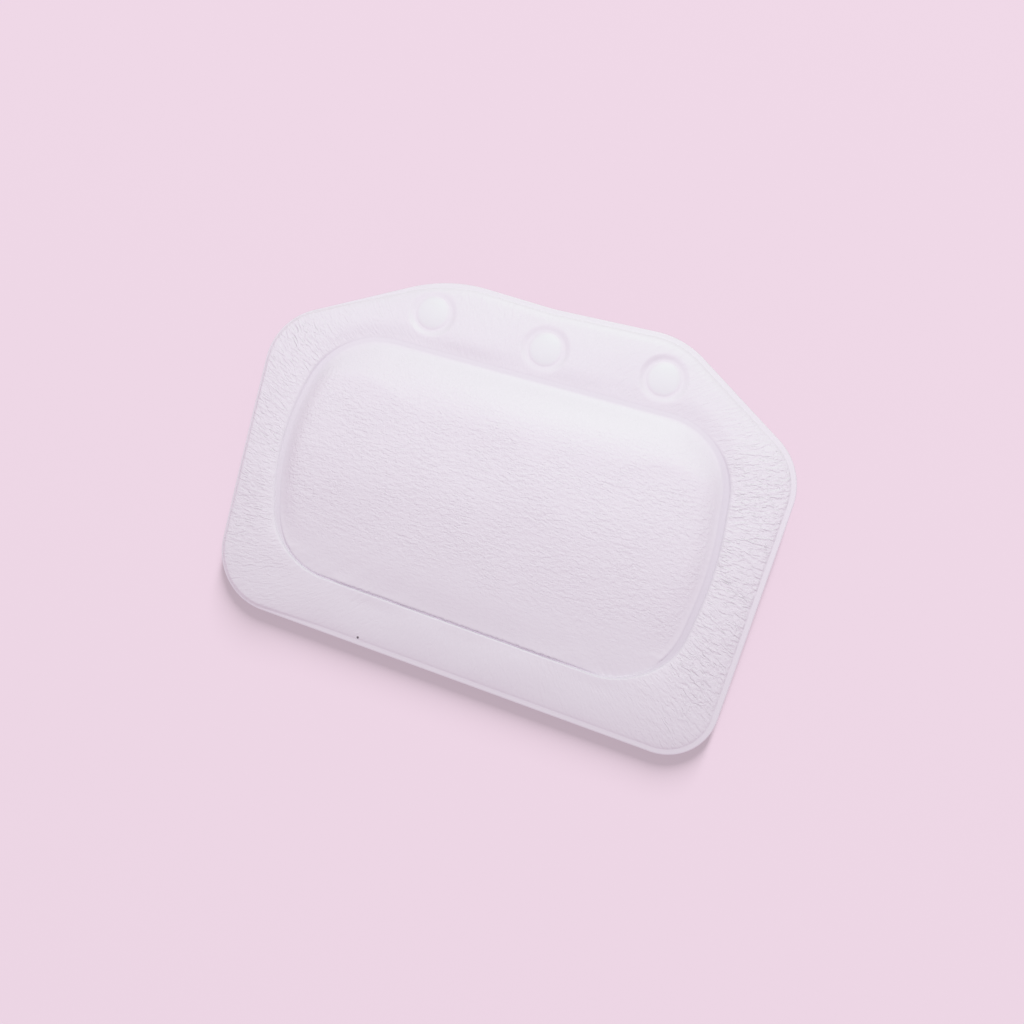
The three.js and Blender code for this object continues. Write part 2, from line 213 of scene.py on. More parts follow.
@dataclass
class Layout:
    """A flat mesh that the sheets and the foam are worked out on.

    Attributes:
        points: across and up of each point.
        quads: faces with four corners, anticlockwise.
        triangles: faces with three corners, anticlockwise.
        rim: the points of the outer edge in order, anticlockwise.
        holes: the points of each inner edge in order, anticlockwise.
    """

    # How often the border of a punched patch is evened out
    BORDER_ROUNDS = 3

    points: Array
    quads: Array
    triangles: Array
    rim: Array
    holes: list[Array] = field(default_factory=list)

    @classmethod
    def from_rows(cls, rows: Array, middle: Array | None) -> "Layout":
        """Joins rows of points, each a loop and given from the inside out, into a mesh.

        Args:
            rows: an array of rows x points x 2.
            middle: the point that the innermost row closes on, or None for a ring.

        Returns:
            The layout, with the innermost row as a hole where there is no middle.
        """
        row_count, count, _ = rows.shape
        index = np.arange(row_count * count).reshape(row_count, count)
        after = np.roll(index, -1, axis=1)
        quads = np.stack([index[:-1], index[1:], after[1:], after[:-1]], axis=-1).reshape(-1, 4)
        points = rows.reshape(-1, 2)
        if middle is None:
            return cls(points, quads, np.zeros((0, 3), int), index[-1], [index[0]])
        hub = np.full(count, len(points))
        triangles = np.stack([hub, index[0], after[0]], axis=1)
        return cls(np.concatenate([points, middle[None]]), quads, triangles, index[-1])

    def punch(self, centre: Array, radii: Sequence[float], closed: bool) -> None:
        """Swaps the mesh inside a circle for rings round its centre.

        Args:
            centre: the circle's centre.
            radii: the radius of the circle, then of each ring inside it.
            closed: whether the last ring closes on the centre or edges a hole.
        """
        far = np.linalg.norm(self.points - centre, axis=1)
        inside = far < radii[0]
        lost = inside[self.quads].any(axis=1)
        gone, kept = self.quads[lost], self.quads[~lost]
        border = self._border(gone)
        offset = self.points[border] - centre
        angle = np.unwrap(np.arctan2(offset[:, 1], offset[:, 0]))
        count = len(border)
        even = angle[0] + np.arange(count) / count * math.tau
        for _ in range(self.BORDER_ROUNDS):
            stray = angle - even
            angle = even + (np.roll(stray, 1) + 2 * stray + np.roll(stray, -1)) / 4
        settle = np.clip(np.arange(len(radii)) / 4, 0, 1)[:, None]
        angles = angle * (1 - settle) + even * settle
        rings = centre + np.array(radii)[:, None, None] * np.stack(
            [np.cos(angles), np.sin(angles)], axis=-1
        )
        self.points[border] = rings[0]
        first = len(self.points)
        index = first + np.arange((len(radii) - 1) * count).reshape(-1, count)
        index = np.concatenate([border[None], index])
        after = np.roll(index, -1, axis=1)
        fresh = np.stack([index[1:], index[:-1], after[:-1], after[1:]], axis=-1).reshape(-1, 4)
        self.quads = np.concatenate([kept, fresh])
        self.points = np.concatenate([self.points, rings[1:].reshape(-1, 2)])
        if closed:
            hub = np.full(count, len(self.points))
            fan = np.stack([hub, index[-1], after[-1]], axis=1)
            self.triangles = np.concatenate([self.triangles, fan])
            self.points = np.concatenate([self.points, centre[None]])
        else:
            self.holes.append(index[-1])

    @staticmethod
    def _border(faces: Array) -> Array:
        """The points round a patch of faces, in order and anticlockwise.

        Each point's follower is known from the one edge of the patch that starts at it. The
        chain of followers is unrolled by doubling: its first n points, and those n steps on.

        Args:
            faces: the patch, without holes.

        Returns:
            The points' numbers.
        """
        edges = np.stack([faces, np.roll(faces, -1, axis=1)], axis=-1).reshape(-1, 2)
        base = edges.max() + 1
        single = ~np.isin(edges @ (base, 1), edges @ (1, base))
        starts, ends = edges[single][np.argsort(edges[single, 0])].T
        jump = np.searchsorted(starts, ends)
        order = np.zeros(1, int)
        while len(order) < len(starts):
            order = np.concatenate([order, jump[order]])
            jump = jump[jump]
        return starts[order[: len(starts)]]

    def tidied(self) -> "Layout":
        """The same layout without the points that no face uses."""
        used = np.zeros(len(self.points), bool)
        used[self.quads] = True
        used[self.triangles] = True
        fresh = np.cumsum(used) - 1
        return Layout(
            self.points[used],
            fresh[self.quads],
            fresh[self.triangles],
            fresh[self.rim],
            [fresh[h] for h in self.holes],
        )

    def normals(self, surface: Array) -> Array:
        """Unit normals of a surface over the layout, summed from its faces at each point."""
        total = np.zeros_like(surface)
        for faces in (self.quads, self.triangles):
            if len(faces):
                a, b, c = (surface[faces[:, k]] for k in (0, 1, 2))
                d = surface[faces[:, -1]]
                three = faces.shape[1] == 3
                face_normal = np.cross(b - a, c - a) if three else np.cross(c - a, d - b)
                for k in range(faces.shape[1]):
                    np.add.at(total, faces[:, k], face_normal)
        return total / np.maximum(np.linalg.norm(total, axis=1), 1e-12)[:, None]


def new_object(name: str, points: Array, faces: list[Array]) -> bpy.types.Object:
    """Makes a smoothly shaded mesh object from points in millimetres and arrays of faces.

    Args:
        name: the object's name.
        points: across, up and high of each point.
        faces: arrays of faces, one for each number of corners.

    Returns:
        The linked object, at the origin.
    """
    mesh = bpy.data.meshes.new(name)
    totals = np.concatenate([np.full(len(f), f.shape[1]) for f in faces if len(f)])
    corners = np.concatenate([f.ravel() for f in faces if len(f)])
    metres = (points + (0, BOTTOM_EDGE, 0)) * MM
    mesh.vertices.add(len(points))
    mesh.vertices.foreach_set("co", metres.astype(np.float32).ravel())
    mesh.loops.add(len(corners))
    mesh.loops.foreach_set("vertex_index", corners.astype(np.int32))
    mesh.polygons.add(len(totals))
    starts = np.concatenate([[0], np.cumsum(totals)[:-1]])
    mesh.polygons.foreach_set("loop_start", starts.astype(np.int32))
    mesh.update(calc_edges=True)
    mesh.polygons.foreach_set("use_smooth", np.ones(len(totals), bool))
    mesh.validate()
    obj = bpy.data.objects.new(name, mesh)
    bpy.context.scene.collection.objects.link(obj)
    return obj


def solid_between(name: str, layout: Layout, top: Array, bottom: Array) -> bpy.types.Object:
    """A closed solid between two surfaces over one layout, with walls at its edges.

    Args:
        name: the object's name.
        layout: the flat mesh that both surfaces share.
        top: the upper surface's points.
        bottom: the lower surface's points.

    Returns:
        The object, with the upper surface's points first.
    """
    below = len(top)
    faces = [layout.quads, layout.quads[:, ::-1] + below]
    walls = [layout.rim, *(h[::-1] for h in layout.holes)]
    for loop in walls:
        after = np.roll(loop, -1)
        faces.append(np.stack([loop, loop + below, after + below, after], axis=1))
    faces.append(layout.triangles)
    faces.append(layout.triangles[:, ::-1] + below)
    return new_object(name, np.concatenate([top, bottom]), faces)


def turned(name: str, profile: Array, place: Array, steps: int) -> bpy.types.Object:
    """Turns a closed profile round an upright axis.

    Each point (r, h) of the profile becomes the circle (r cos a, r sin a, h). A profile that
    starts or ends on the axis closes there on one point.

    Args:
        name: the object's name.
        profile: radius and height of each point, running up the outside.
        place: across and up of the axis.
        steps: how many points a circle has.

    Returns:
        The object.
    """
    angle = np.arange(steps) / steps * math.tau
    on_axis = profile[:, 0] < 1e-6
    rings = profile[~on_axis]
    circles = np.stack(
        [
            rings[:, 0, None] * np.cos(angle) + place[0],
            rings[:, 0, None] * np.sin(angle) + place[1],
            np.repeat(rings[:, 1, None], steps, axis=1),
        ],
        axis=-1,
    )
    index = np.arange(len(rings) * steps).reshape(-1, steps)
    after = np.roll(index, -1, axis=1)
    points = circles.reshape(-1, 3)
    if on_axis.any():
        quads = np.stack([index[:-1], after[:-1], after[1:], index[1:]], axis=-1).reshape(-1, 4)
        poles = [(place[0], place[1], profile[0, 1]), (place[0], place[1], profile[-1, 1])]
        low, high = len(points), len(points) + 1
        points = np.concatenate([points, poles])
        fan_low = np.stack([np.full(steps, low), after[0], index[0]], axis=1)
        fan_high = np.stack([np.full(steps, high), index[-1], after[-1]], axis=1)
        return new_object(name, points, [quads, fan_low, fan_high])
    over, after_over = np.roll(index, -1, axis=0), np.roll(after, -1, axis=0)
    quads = np.stack([index, after, after_over, over], axis=-1).reshape(-1, 4)
    return new_object(name, points, [quads])


def store(obj: bpy.types.Object, name: str, values: Array) -> None:
    """Keeps a number or a vector at each point of a mesh, for its material to read."""
    kind, key = ("FLOAT", "value") if values.ndim == 1 else ("FLOAT_VECTOR", "vector")
    attribute = obj.data.attributes.new(name, kind, "POINT")
    attribute.data.foreach_set(key, values.astype(np.float32).ravel())


# The pillow's shape


@dataclass(frozen=True)
class SeamStyle:
    """How the welded channel round the cushion looks on one side of it.

    Attributes:
        inner: half the channel's width on the cushion's side.
        outer: half its width on the margin's side.
        crown_radius: how far in the cushion reaches its full height.
        floor: how high the channel's bottom lies over the flat weld.
        bank: how high the margin stands at the channel.
        bank_width: how far it takes to rise that high.
        lip: how high the cushion stands up sharply at its foot.
        lip_radius: how far in that sharp part reaches.
        margin_radius: how far out the margin reaches its full height.
        overhang: how far the cushion bulges over the channel.
        pucker: how high the small creases are that run into the weld.
        foot_softness: how far out from the foot the surfaces take to start rising.
        edge_step: how high the margin rises right beside the welded edge.
        edge_share: the share of its further rise that it makes close to that edge.
        shade: how much painted shade dims the sheet's colour in the channel's crease, a little of it the
            pressed sheet's own tone.
    """

    inner: float
    outer: float
    crown_radius: float
    floor: float
    bank: float
    bank_width: float
    lip: float
    lip_radius: float
    margin_radius: float
    overhang: float
    pucker: float
    foot_softness: float
    edge_step: float
    edge_share: float
    shade: float


class Side(Enum):
    """The three kinds of side that the welded channel has."""

    TOP = SeamStyle(
        1.0, 1.0, 36.0, 1.7, 1.8, 1.0, 0.0, 1.0, 10.0, 0.0, 0.05, 3.5, 0.3, 0.42, 0.4
    )
    ENDS = SeamStyle(
        1.5, 1.5, 13.0, 1.2, 2.2, 1.1, 0.2, 1.5, 10.0, 0.0, 0.12, 1.5, 0.05, 0.2, 1.0
    )
    BOTTOM = SeamStyle(
        0.4, 0.4, 20.0, 1.9, 3.9, 0.6, 1.7, 1.4, 18.0, 0.45, 0.3, 0.8, 0.08, 0.1, 0.4
    )


@dataclass(frozen=True)
class PillowShape:
    """The sizes of the pillow and the surfaces of its sheets, over flat layouts."""

    # Heights over the plane that it rests on, from the inside out
    weld_height: float = 15.0
    sheet: float = 1.0
    sheet_gap: float = 0.15
    foam_gap: float = 0.3
    bottom_sag: float = 8.0
    fold_line: float = 186.0
    fold_width: float = 14.0
    cushion_middle: float = 109.5

    # The cushion's crown and belly
    crown_height: float = 13.0
    crown_ridge: float = 105.0
    crown_bottom_rise: float = 4.5
    ridge_softness: float = 9.0
    crown_left_fall: float = 4.6
    crown_right_fall: float = 6.0
    crown_right_spread: float = 3.0
    crown_spread: float = 2.2
    belly_flat: float = 0.45
    belly_spread: float = 1.8
    belly_fall: float = 0.75

    # The padded margin and the welded edge
    margin_rise: float = 3.4
    edge_radius: float = 20.0
    edge_width: float = 3.2
    edge_rise: float = 0.55
    edge_left_step: float = 0.95
    edge_left_width: float = 0.8
    edge_step_width: float = 1.2
    edge_step_spread: float = 1.2
    edge_shoulder_radius: float = 5.5
    edge_bead_rise: float = 0.1
    edge_groove: float = 0.04
    back_padding: float = 0.8

    # The pockets over the suction cups' heads
    pocket_radius: float = 10.3
    pocket_weld: float = 1.4
    pit_slope: float = 4.0
    pit_floor: float = 2.1
    pocket_rise: float = 1.3

    # The drain hole
    drain_radius: float = 0.8
    drain_place: tuple[float, float] = (-58.0, 6.5)

    # The pillow as it lies in the photo: its soft outline has settled a few millimetres out of true
    outline: tuple[Corner, ...] = (
        Corner(160.0, -3.5, 31.0),
        Corner(167.0, 181.5, 39.0),
        Corner(77.0, 236.2, 54.0),
        Corner(-2.5, 231.5, 100.0),
        Corner(-70.5, 232.6, 94.0),
        Corner(-168.5, 178.3, 39.0),
        Corner(-156.5, 4.5, 38.0),
    )
    seam: tuple[Corner, ...] = (
        Corner(124.0, 29.7, 45.0),
        Corner(133.6, 109.5, 200.0),
        Corner(123.2, 190.0, 45.0),
        Corner(-127.0, 184.5, 46.0),
        Corner(-142.0, 107.0, 150.0),
        Corner(-121.0, 36.0, 43.0),
    )

    @property
    def front_level(self) -> float:
        """The outer face of the front sheet where it is welded flat."""
        return self.weld_height + self.sheet_gap + self.sheet

    @property
    def back_level(self) -> float:
        """The outer face of the back sheet where it is welded flat."""
        return self.weld_height - self.sheet_gap - self.sheet

    @property
    def pocket_edge(self) -> float:
        """The outer radius of a pocket's ring weld."""
        return self.pocket_radius + self.pocket_weld

    @property
    def middle(self) -> Array:
        """The cushion's middle."""
        return np.array([0.0, self.cushion_middle])


@dataclass(frozen=True)
class Slack:
    """Where the emboss shows: least where the sheet is drawn tight over the foam.

    Each pair is where it shows least and where it shows fully, across or up.

    Attributes:
        cushion_top: the cushion's upper shoulder, up.
        cushion_bottom: its lower part, up.
        sides: the side margins, across.
        flap: where the side margins run into the flap, up.
        corners: where they run into the bottom margin, up.
        tight: how much it shows where it shows least.
        cushion: how much it shows in the cushion's middle.
        left: how much it shows on the left margin, which is drawn tighter than the right.
    """

    cushion_top: tuple[float, float] = (180.0, 138.0)
    cushion_bottom: tuple[float, float] = (42.0, 78.0)
    sides: tuple[float, float] = (95.0, 150.0)
    flap: tuple[float, float] = (225.0, 165.0)
    corners: tuple[float, float] = (-30.0, 55.0)
    tight: float = 0.2
    cushion: float = 0.6
    left: float = 0.65

    def over(self, points: Array, inside: Array) -> Array:
        """The share of the emboss that shows at each point.

        Args:
            points: across and up of each point.
            inside: whether each point lies on the cushion.

        Returns:
            Shares from tight to 1.
        """
        across, up = points.T
        cushion = self.cushion * smooth(*self.cushion_top, up) * smooth(*self.cushion_bottom, up)
        side = smooth(*self.sides, abs(across)) * np.where(across > 0, 1, self.left)
        margin = side * smooth(*self.flap, up) * smooth(*self.corners, up)
        return self.tight + (1 - self.tight) * np.where(inside, cushion, margin)


class Undulation:
    """A gentle, repeatable unevenness: a sum of a few plane waves in chosen lengths."""

    def __init__(self, seed: int, shortest: float, longest: float, count: int) -> None:
        """Draws the waves.

        Args:
            seed: the seed of the draw.
            shortest: the shortest wave in millimetres.
            longest: the longest.
            count: how many waves are added up.
        """
        draw = np.random.default_rng(seed)
        length = np.exp(draw.uniform(math.log(shortest), math.log(longest), count))
        heading = draw.uniform(0, math.tau, count)
        self.waves = math.tau / length[:, None] * np.stack([np.cos(heading), np.sin(heading)], axis=1)
        self.phases = draw.uniform(0, math.tau, count)

    def over(self, points: Array) -> Array:
        """The height at each point, about -1 to 1."""
        return np.sin(points @ self.waves.T + self.phases).sum(axis=1) / math.sqrt(len(self.phases))


class Puckers:
    """Small creases along a loop: sines of whole turns round it, so that they meet at its start."""

    def __init__(self, seed: int, length: float, shortest: float, longest: float, count: int) -> None:
        """Draws the creases.

        Args:
            seed: the seed of the draw.
            length: the loop's length.
            shortest: the closest spacing of creases.
            longest: the widest.
            count: how many sines are added up.
        """
        draw = np.random.default_rng(seed)
        self.turns = draw.integers(int(length / longest), int(length / shortest), count)
        self.phases = draw.uniform(0, math.tau, count)
        self.length = length

    def at(self, arc: Array) -> Array:
        """The height at each distance along the loop, about -1 to 1."""
        waves = arc[:, None] / self.length * math.tau * self.turns + self.phases
        return np.sin(waves).sum(axis=1) / math.sqrt(len(self.phases))


class PillowSurfaces:
    """Works out the surfaces of the pillow's sheets and foam over flat layouts."""

    # How far out the pillow's sides are
    HALF_WIDTH = 160.0

    # Where along the width the rolled left edge starts and is complete
    LEFT_EDGE = (0.45, 0.9)

    # How far the margin's wrinkles lean from straight across, and how much more on the left
    WRINKLE_LEAN = (0.08, 0.14)

    # The seam's heading where its ends start to turn into its top or bottom, and have turned
    TURN = (0.35, 0.97)

    # How many rows each stretch has, and how strongly they crowd towards a weld
    CROWN_ROWS = 26
    FOOT_ROWS = 15
    NEAR_ROWS = 9
    BETWEEN_ROWS = 16
    EDGE_ROWS = 12
    CROWDING = 1.9

    # The innermost row's share of the cushion, and how far rows run square to a weld or an edge
    INNERMOST_SHARE = 0.03
    CROWN_SQUARED = 12.0
    MARGIN_SQUARED = 7.5

    # Where the rows in the channel lie, in shares of its halves, and those at the edge, inside it
    CHANNEL_SHARES = (-0.6, -0.2, 0.3, 0.7)
    EDGE_OFFSETS = (3.0, 2.75, 2.45, 2.1, 1.8, 1.5, 1.2, 0.9, 0.65, 0.4, 0.2, 0.07, 0.0)

    # Where along the width the right shoulder starts to widen and is widest
    RIGHT_SPREAD = (0.3, 0.8)

    # How far from the channel the creases and the ripple fade in, and how far they reach
    CREASE_START = 0.8
    CREASE_REACH = 5.5
    MARGIN_CREASE_REACH = 4.0
    RIPPLE_START = 3.0
    RIPPLE_REACH = 14.0

    # How deep the creases and the ripple are, in shares of the seam's pucker
    RIPPLE_SHARE = 0.5
    MARGIN_CREASE_SHARE = 0.35

    # How high the lie's unevenness is on the cushion and on the margin, and where it is whole there
    LIE_ON_CUSHION = 0.25
    LIE_ON_MARGIN = 0.3
    LIE_START = 8.0

    # The welded edge: its bead's radius and fade, its line's width, and where both have faded out
    BEAD_RADIUS = 0.7
    BEAD_FADE = (0.9, 2.2)
    LINE_WIDTH = 0.45
    EDGE_FADE = (4.2, 5.4)

    # A sheet's cut edge: the radius that rounds it, and the thickness that stays upright
    CUT_RADIUS = 0.6
    CUT_UPRIGHT = 0.15

    # How far from a weld the sheets start to part and have parted, and where a pocket's inside ends
    PARTING = (0.1, 1.2)
    POCKET_INSIDE = (9.2, 9.9)

    # How far from a suction cup's axis the back's padding starts and is whole
    CUP_CLEARING = (13, 18)

    def __init__(self, shape: PillowShape) -> None:
        """Lays out the pillow's outline and its seam."""
        self.shape = shape
        self.outline = RoundedLoop(shape.outline, shape.middle)
        self.seam = RoundedLoop(shape.seam, shape.middle)
        self.lie = Undulation(11, 45, 110, 7)
        self.slack = Slack()
        self.puckers = Puckers(5, self.seam.length, 3.2, 9.0, 14)
        self.ripple = Puckers(23, self.seam.length, 14.0, 45.0, 9)
        self.cups = {
            side: self.cup_place(side) for side in ("left", "middle", "right")
        }

    @staticmethod
    def cup_place(side: str) -> Array:
        """Across and up of a suction cup's axis, from its CAD node."""
        low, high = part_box(f"suction_cup_{side}")
        middle = (low + high) / 2 / MM
        return np.array([middle.x, middle.y - BOTTOM_EDGE])

    def styled(self, upward: Array, what: str) -> Array:
        """A seam size at each point, eased between the three sides by the seam's own heading.

        Args:
            upward: the upward share of the seam's outward normal.
            what: the name of a field of SeamStyle.

        Returns:
            The size at each point.
        """
        top = smooth(*self.TURN, upward)
        bottom = smooth(*self.TURN, -upward)
        ends = 1 - top - bottom
        return (
            top * getattr(Side.TOP.value, what)
            + bottom * getattr(Side.BOTTOM.value, what)
            + ends * getattr(Side.ENDS.value, what)
        )

    # Layouts

    def spokes(self, count: int) -> dict[str, Array]:
        """Matching points on the seam and on the outline, evenly spaced along the seam."""
        arc = np.arange(count) / count * self.seam.length
        weld, out = self.seam.at(arc)
        offset = weld - self.shape.middle
        angle = np.arctan2(offset[:, 1], offset[:, 0])
        rim_arc = self.outline.arc_towards(angle)
        rim, rim_out = self.outline.at(rim_arc)
        return {"weld": weld, "out": out, "rim": rim, "rim_out": rim_out, "upward": out[:, 1]}

    def crown_rows(self, spokes: dict[str, Array], inset: float) -> list[Array]:
        """Rows from the cushion's middle to its foot, closest together at the foot.

        The inner rows are the seam drawn in towards the middle, and the outer ones follow the
        seam at a fixed distance.

        Args:
            spokes: the spokes.
            inset: how far inside the foot the last row lies.

        Returns:
            The rows, from the inside out.
        """
        foot = self.styled(spokes["upward"], "inner")[:, None]
        turn = spokes["weld"] - spokes["out"] * (foot + self.CROWN_SQUARED)
        shares = np.linspace(self.INNERMOST_SHARE, 1, self.CROWN_ROWS)[:-1]
        middle = self.shape.middle
        inner = [middle + (turn - middle) * share for share in shares]
        offsets = ease_rows(self.CROWN_SQUARED, inset, self.FOOT_ROWS, self.CROWDING)
        outer = [spokes["weld"] - spokes["out"] * (foot + d) for d in offsets]
        return inner + outer

    def margin_rows(self, spokes: dict[str, Array], inset: float, edge: float) -> list[Array]:
        """Rows from the outer side of the seam's channel to the welded edge.

        Args:
            spokes: the spokes.
            inset: how far outside the channel the first row lies.
            edge: how far inside the outline the last row lies.

        Returns:
            The rows, from the inside out.
        """
        foot = self.styled(spokes["upward"], "outer")[:, None]
        near_offsets = ease_rows(self.MARGIN_SQUARED, inset, self.NEAR_ROWS, self.CROWDING)[::-1]
        far_offsets = ease_rows(edge + self.MARGIN_SQUARED, edge, self.EDGE_ROWS, self.CROWDING)
        near = [spokes["weld"] + spokes["out"] * (foot + d) for d in near_offsets]
        far = [spokes["rim"] - spokes["rim_out"] * d for d in far_offsets]
        shares = np.linspace(0, 1, self.BETWEEN_ROWS)[1:-1]
        between = [near[-1] + (far[0] - near[-1]) * share for share in shares]
        return near + between + far

    def sheet_layout(self, count: int) -> Layout:
        """The layout of a whole sheet: cushion, channel, margin and welded edge."""
        spokes = self.spokes(count)
        inner = self.styled(spokes["upward"], "inner")[:, None]
        outer = self.styled(spokes["upward"], "outer")[:, None]
        crown = self.crown_rows(spokes, 0.0)
        channel = [
            spokes["weld"] + spokes["out"] * (outer * t if t > 0 else inner * t)
            for t in self.CHANNEL_SHARES
        ]
        margin = self.margin_rows(spokes, 0.0, self.shape.edge_width)
        edge = [spokes["rim"] - spokes["rim_out"] * d for d in self.EDGE_OFFSETS]
        rows = np.stack(crown + channel + margin + edge)
        return Layout.from_rows(rows, self.shape.middle)

    # Heights

    def measures(self, points: Array) -> dict[str, Array]:
        """What the surfaces need to know about each point of a layout.

        Args:
            points: across and up of each point.

        Returns:
            Arrays: share of the way to the seam, whether the point is inside it, distance to
            it, to the outline and into the crown or the margin, the seam's heading, the share
            of the rolled left edge, and the place along the seam.
        """
        offset = points - self.shape.middle
        angle = np.arctan2(offset[:, 1], offset[:, 0])
        share = np.linalg.norm(offset, axis=1) / self.seam.reach(angle)
        from_seam = self.seam.distance(points)
        upward = self.seam.normal_towards(angle)
        inside = share < 1
        return {
            "share": share,
            "inside": inside,
            "from_seam": from_seam,
            "from_edge": self.outline.distance(points),
            "upward": upward,
            "left": smooth(*self.LEFT_EDGE, -points[:, 0] / self.HALF_WIDTH),
            "arc": self.seam.arc_towards(angle),
            "into_crown": np.where(inside, from_seam - self.styled(upward, "inner"), -1),
            "into_margin": np.where(inside, -1, from_seam - self.styled(upward, "outer")),
        }

    def from_cups(self, points: Array) -> Array:
        """The distance from each point to the nearest suction cup's axis."""
        gaps = [np.linalg.norm(points - place, axis=1) for place in self.cups.values()]
        return np.min(gaps, axis=0)

    def settled(self, points: Array, height: Array) -> Array:
        """Lowers heights towards the bottom edge, where the pillow sags, but not what it lies on.

        The sag grows with the square of the distance below the fold, and a point nearer the
        ground than the back sheet's flat takes only that share of it.

        Args:
            points: across and up of each point.
            height: the height of each point before the sag.

        Returns:
            Points in three dimensions.
        """
        s = self.shape
        down = s.bottom_sag * (np.maximum(s.fold_line - points[:, 1], 0) / s.fold_line) ** 2
        sunk = height - down * np.minimum(height / s.back_level, 1)
        return np.column_stack([points, sunk])

    def crown_plateau(self, points: Array) -> Array:
        """The height that the cushion would have without its shoulders.

        It is level above the ridge and falls in a straight slope below it. The bend between
        them is w ln(1 + e^(d/w)) at a distance d below the ridge. Both sides fall by x^2.

        Args:
            points: across and up of each point.

        Returns:
            Heights over the weld.
        """
        s = self.shape
        below = (s.crown_ridge - points[:, 1]) / s.ridge_softness
        foot = s.crown_ridge - self.seam.points[:, 1].min()
        slope = (s.crown_height - s.crown_bottom_rise) / foot
        fall = slope * s.ridge_softness * np.logaddexp(0, below)
        side_fall = np.where(points[:, 0] > 0, s.crown_right_fall, s.crown_left_fall)
        reach = self.seam.reach(np.zeros(1))[0]
        return s.crown_height - fall - side_fall * (points[:, 0] / reach) ** 2

    def crown_rise(self, points: Array, into: Array, upward: Array) -> Array:
        """How high the cushion stands at a distance inside its foot.

        A sharp lip, a quarter of an ellipse, turns into a soft shoulder, 1 - (1 - t)^2.2, that
        is level at the crown's radius.

        Args:
            points: across and up of each point.
            into: the distance inside the foot.
            upward: the seam's heading there.

        Returns:
            The rise over the weld.
        """
        floor = self.styled(upward, "floor")
        plateau = self.crown_plateau(points) - floor
        lip = np.minimum(self.styled(upward, "lip"), plateau)
        sharp = shoulder(into, self.styled(upward, "lip_radius"))
        right = smooth(*self.RIGHT_SPREAD, points[:, 0] / self.HALF_WIDTH)
        wider = self.shape.crown_right_spread * right
        radius = self.styled(upward, "crown_radius") + wider
        t = np.clip(self.eased(into, upward) / radius, 0, 1)
        soft = 1 - (1 - t) ** self.shape.crown_spread
        return floor + lip * sharp + (plateau - lip) * soft

    def eased(self, distance: Array, upward: Array) -> Array:
        """A distance that starts slowly at a foot of softness w: sqrt(d^2 + w^2) - w."""
        softness = self.styled(upward, "foot_softness")
        return np.hypot(distance, softness) - softness

    def land(self, m: dict[str, Array]) -> Array:
        """How wide the flat of the welded edge is at each point: least on the left."""
        s = self.shape
        return s.edge_width + (s.edge_left_width - s.edge_width) * m["left"]

    def padding(self, m: dict[str, Array], inset: float = 0.0) -> Array:
        """The share of full thickness that the foam gives the margin at each point.

        From the channel's floor it rises over a bank, and from there it follows 1 - (1 - t)^2.
        From the welded edge it climbs the land and a small step, which is highest on the left,
        where the edge is rolled, and then follows the same curve over a short and a long way.
        The share is the product of both.

        Args:
            m: the measures of the points.
            inset: how far inside both the foam starts.

        Returns:
            Shares from 0 to 1.
        """
        s = self.shape
        from_channel = np.maximum(m["into_margin"] - inset, 0)
        from_weld = np.maximum(m["from_edge"] - self.land(m) - inset, 0)
        floor = self.styled(m["upward"], "floor") / s.margin_rise
        bank = self.styled(m["upward"], "bank") / s.margin_rise
        risen = smooth(0, self.styled(m["upward"], "bank_width"), from_channel)
        start = floor + (bank - floor) * risen
        from_foot = self.eased(from_channel, m["upward"])
        near = np.clip(from_foot / self.styled(m["upward"], "margin_radius"), 0, 1)
        close = np.clip(from_weld / s.edge_shoulder_radius, 0, 1)
        far = np.clip(from_weld / s.edge_radius, 0, 1)
        step = self.styled(m["upward"], "edge_step") + s.edge_left_step * m["left"]
        step = step / s.margin_rise
        land = s.edge_rise / s.margin_rise * np.clip(m["from_edge"] / s.edge_width, 0, 1)
        land = land + step * smooth(0, s.edge_step_width + s.edge_step_spread * m["left"], from_weld)
        top = 1 - s.edge_rise / s.margin_rise - step
        share = self.styled(m["upward"], "edge_share")
        rounded = share * (1 - (1 - close) ** 2)
        inner = start + (1 - start) * (1 - (1 - near) ** 2)
        outer = land + top * (rounded + (1 - share) * (1 - (1 - far) ** 2))
        return inner * outer

    def cut_rounding(self, from_edge: Array) -> Array:
        """How far a sheet's outer face is drawn in at its cut edge: a quarter of an ellipse."""
        return (self.shape.sheet - self.CUT_UPRIGHT) * (1 - shoulder(from_edge, self.CUT_RADIUS))

    def edge_bead(self, m: dict[str, Array]) -> Array:
        """The welded edge over its land: a faint rim bead and a faint pressed line inside it."""
        s = self.shape
        from_edge = m["from_edge"]
        raised = shoulder(from_edge, self.BEAD_RADIUS) - smooth(*self.BEAD_FADE, from_edge)
        line = s.edge_groove * np.exp(-(((from_edge - s.edge_width) / self.LINE_WIDTH) ** 2))
        fade = (1 - smooth(*self.EDGE_FADE, from_edge)) * (1 - m["left"])
        return (s.edge_bead_rise * raised - line) * fade - self.cut_rounding(from_edge)

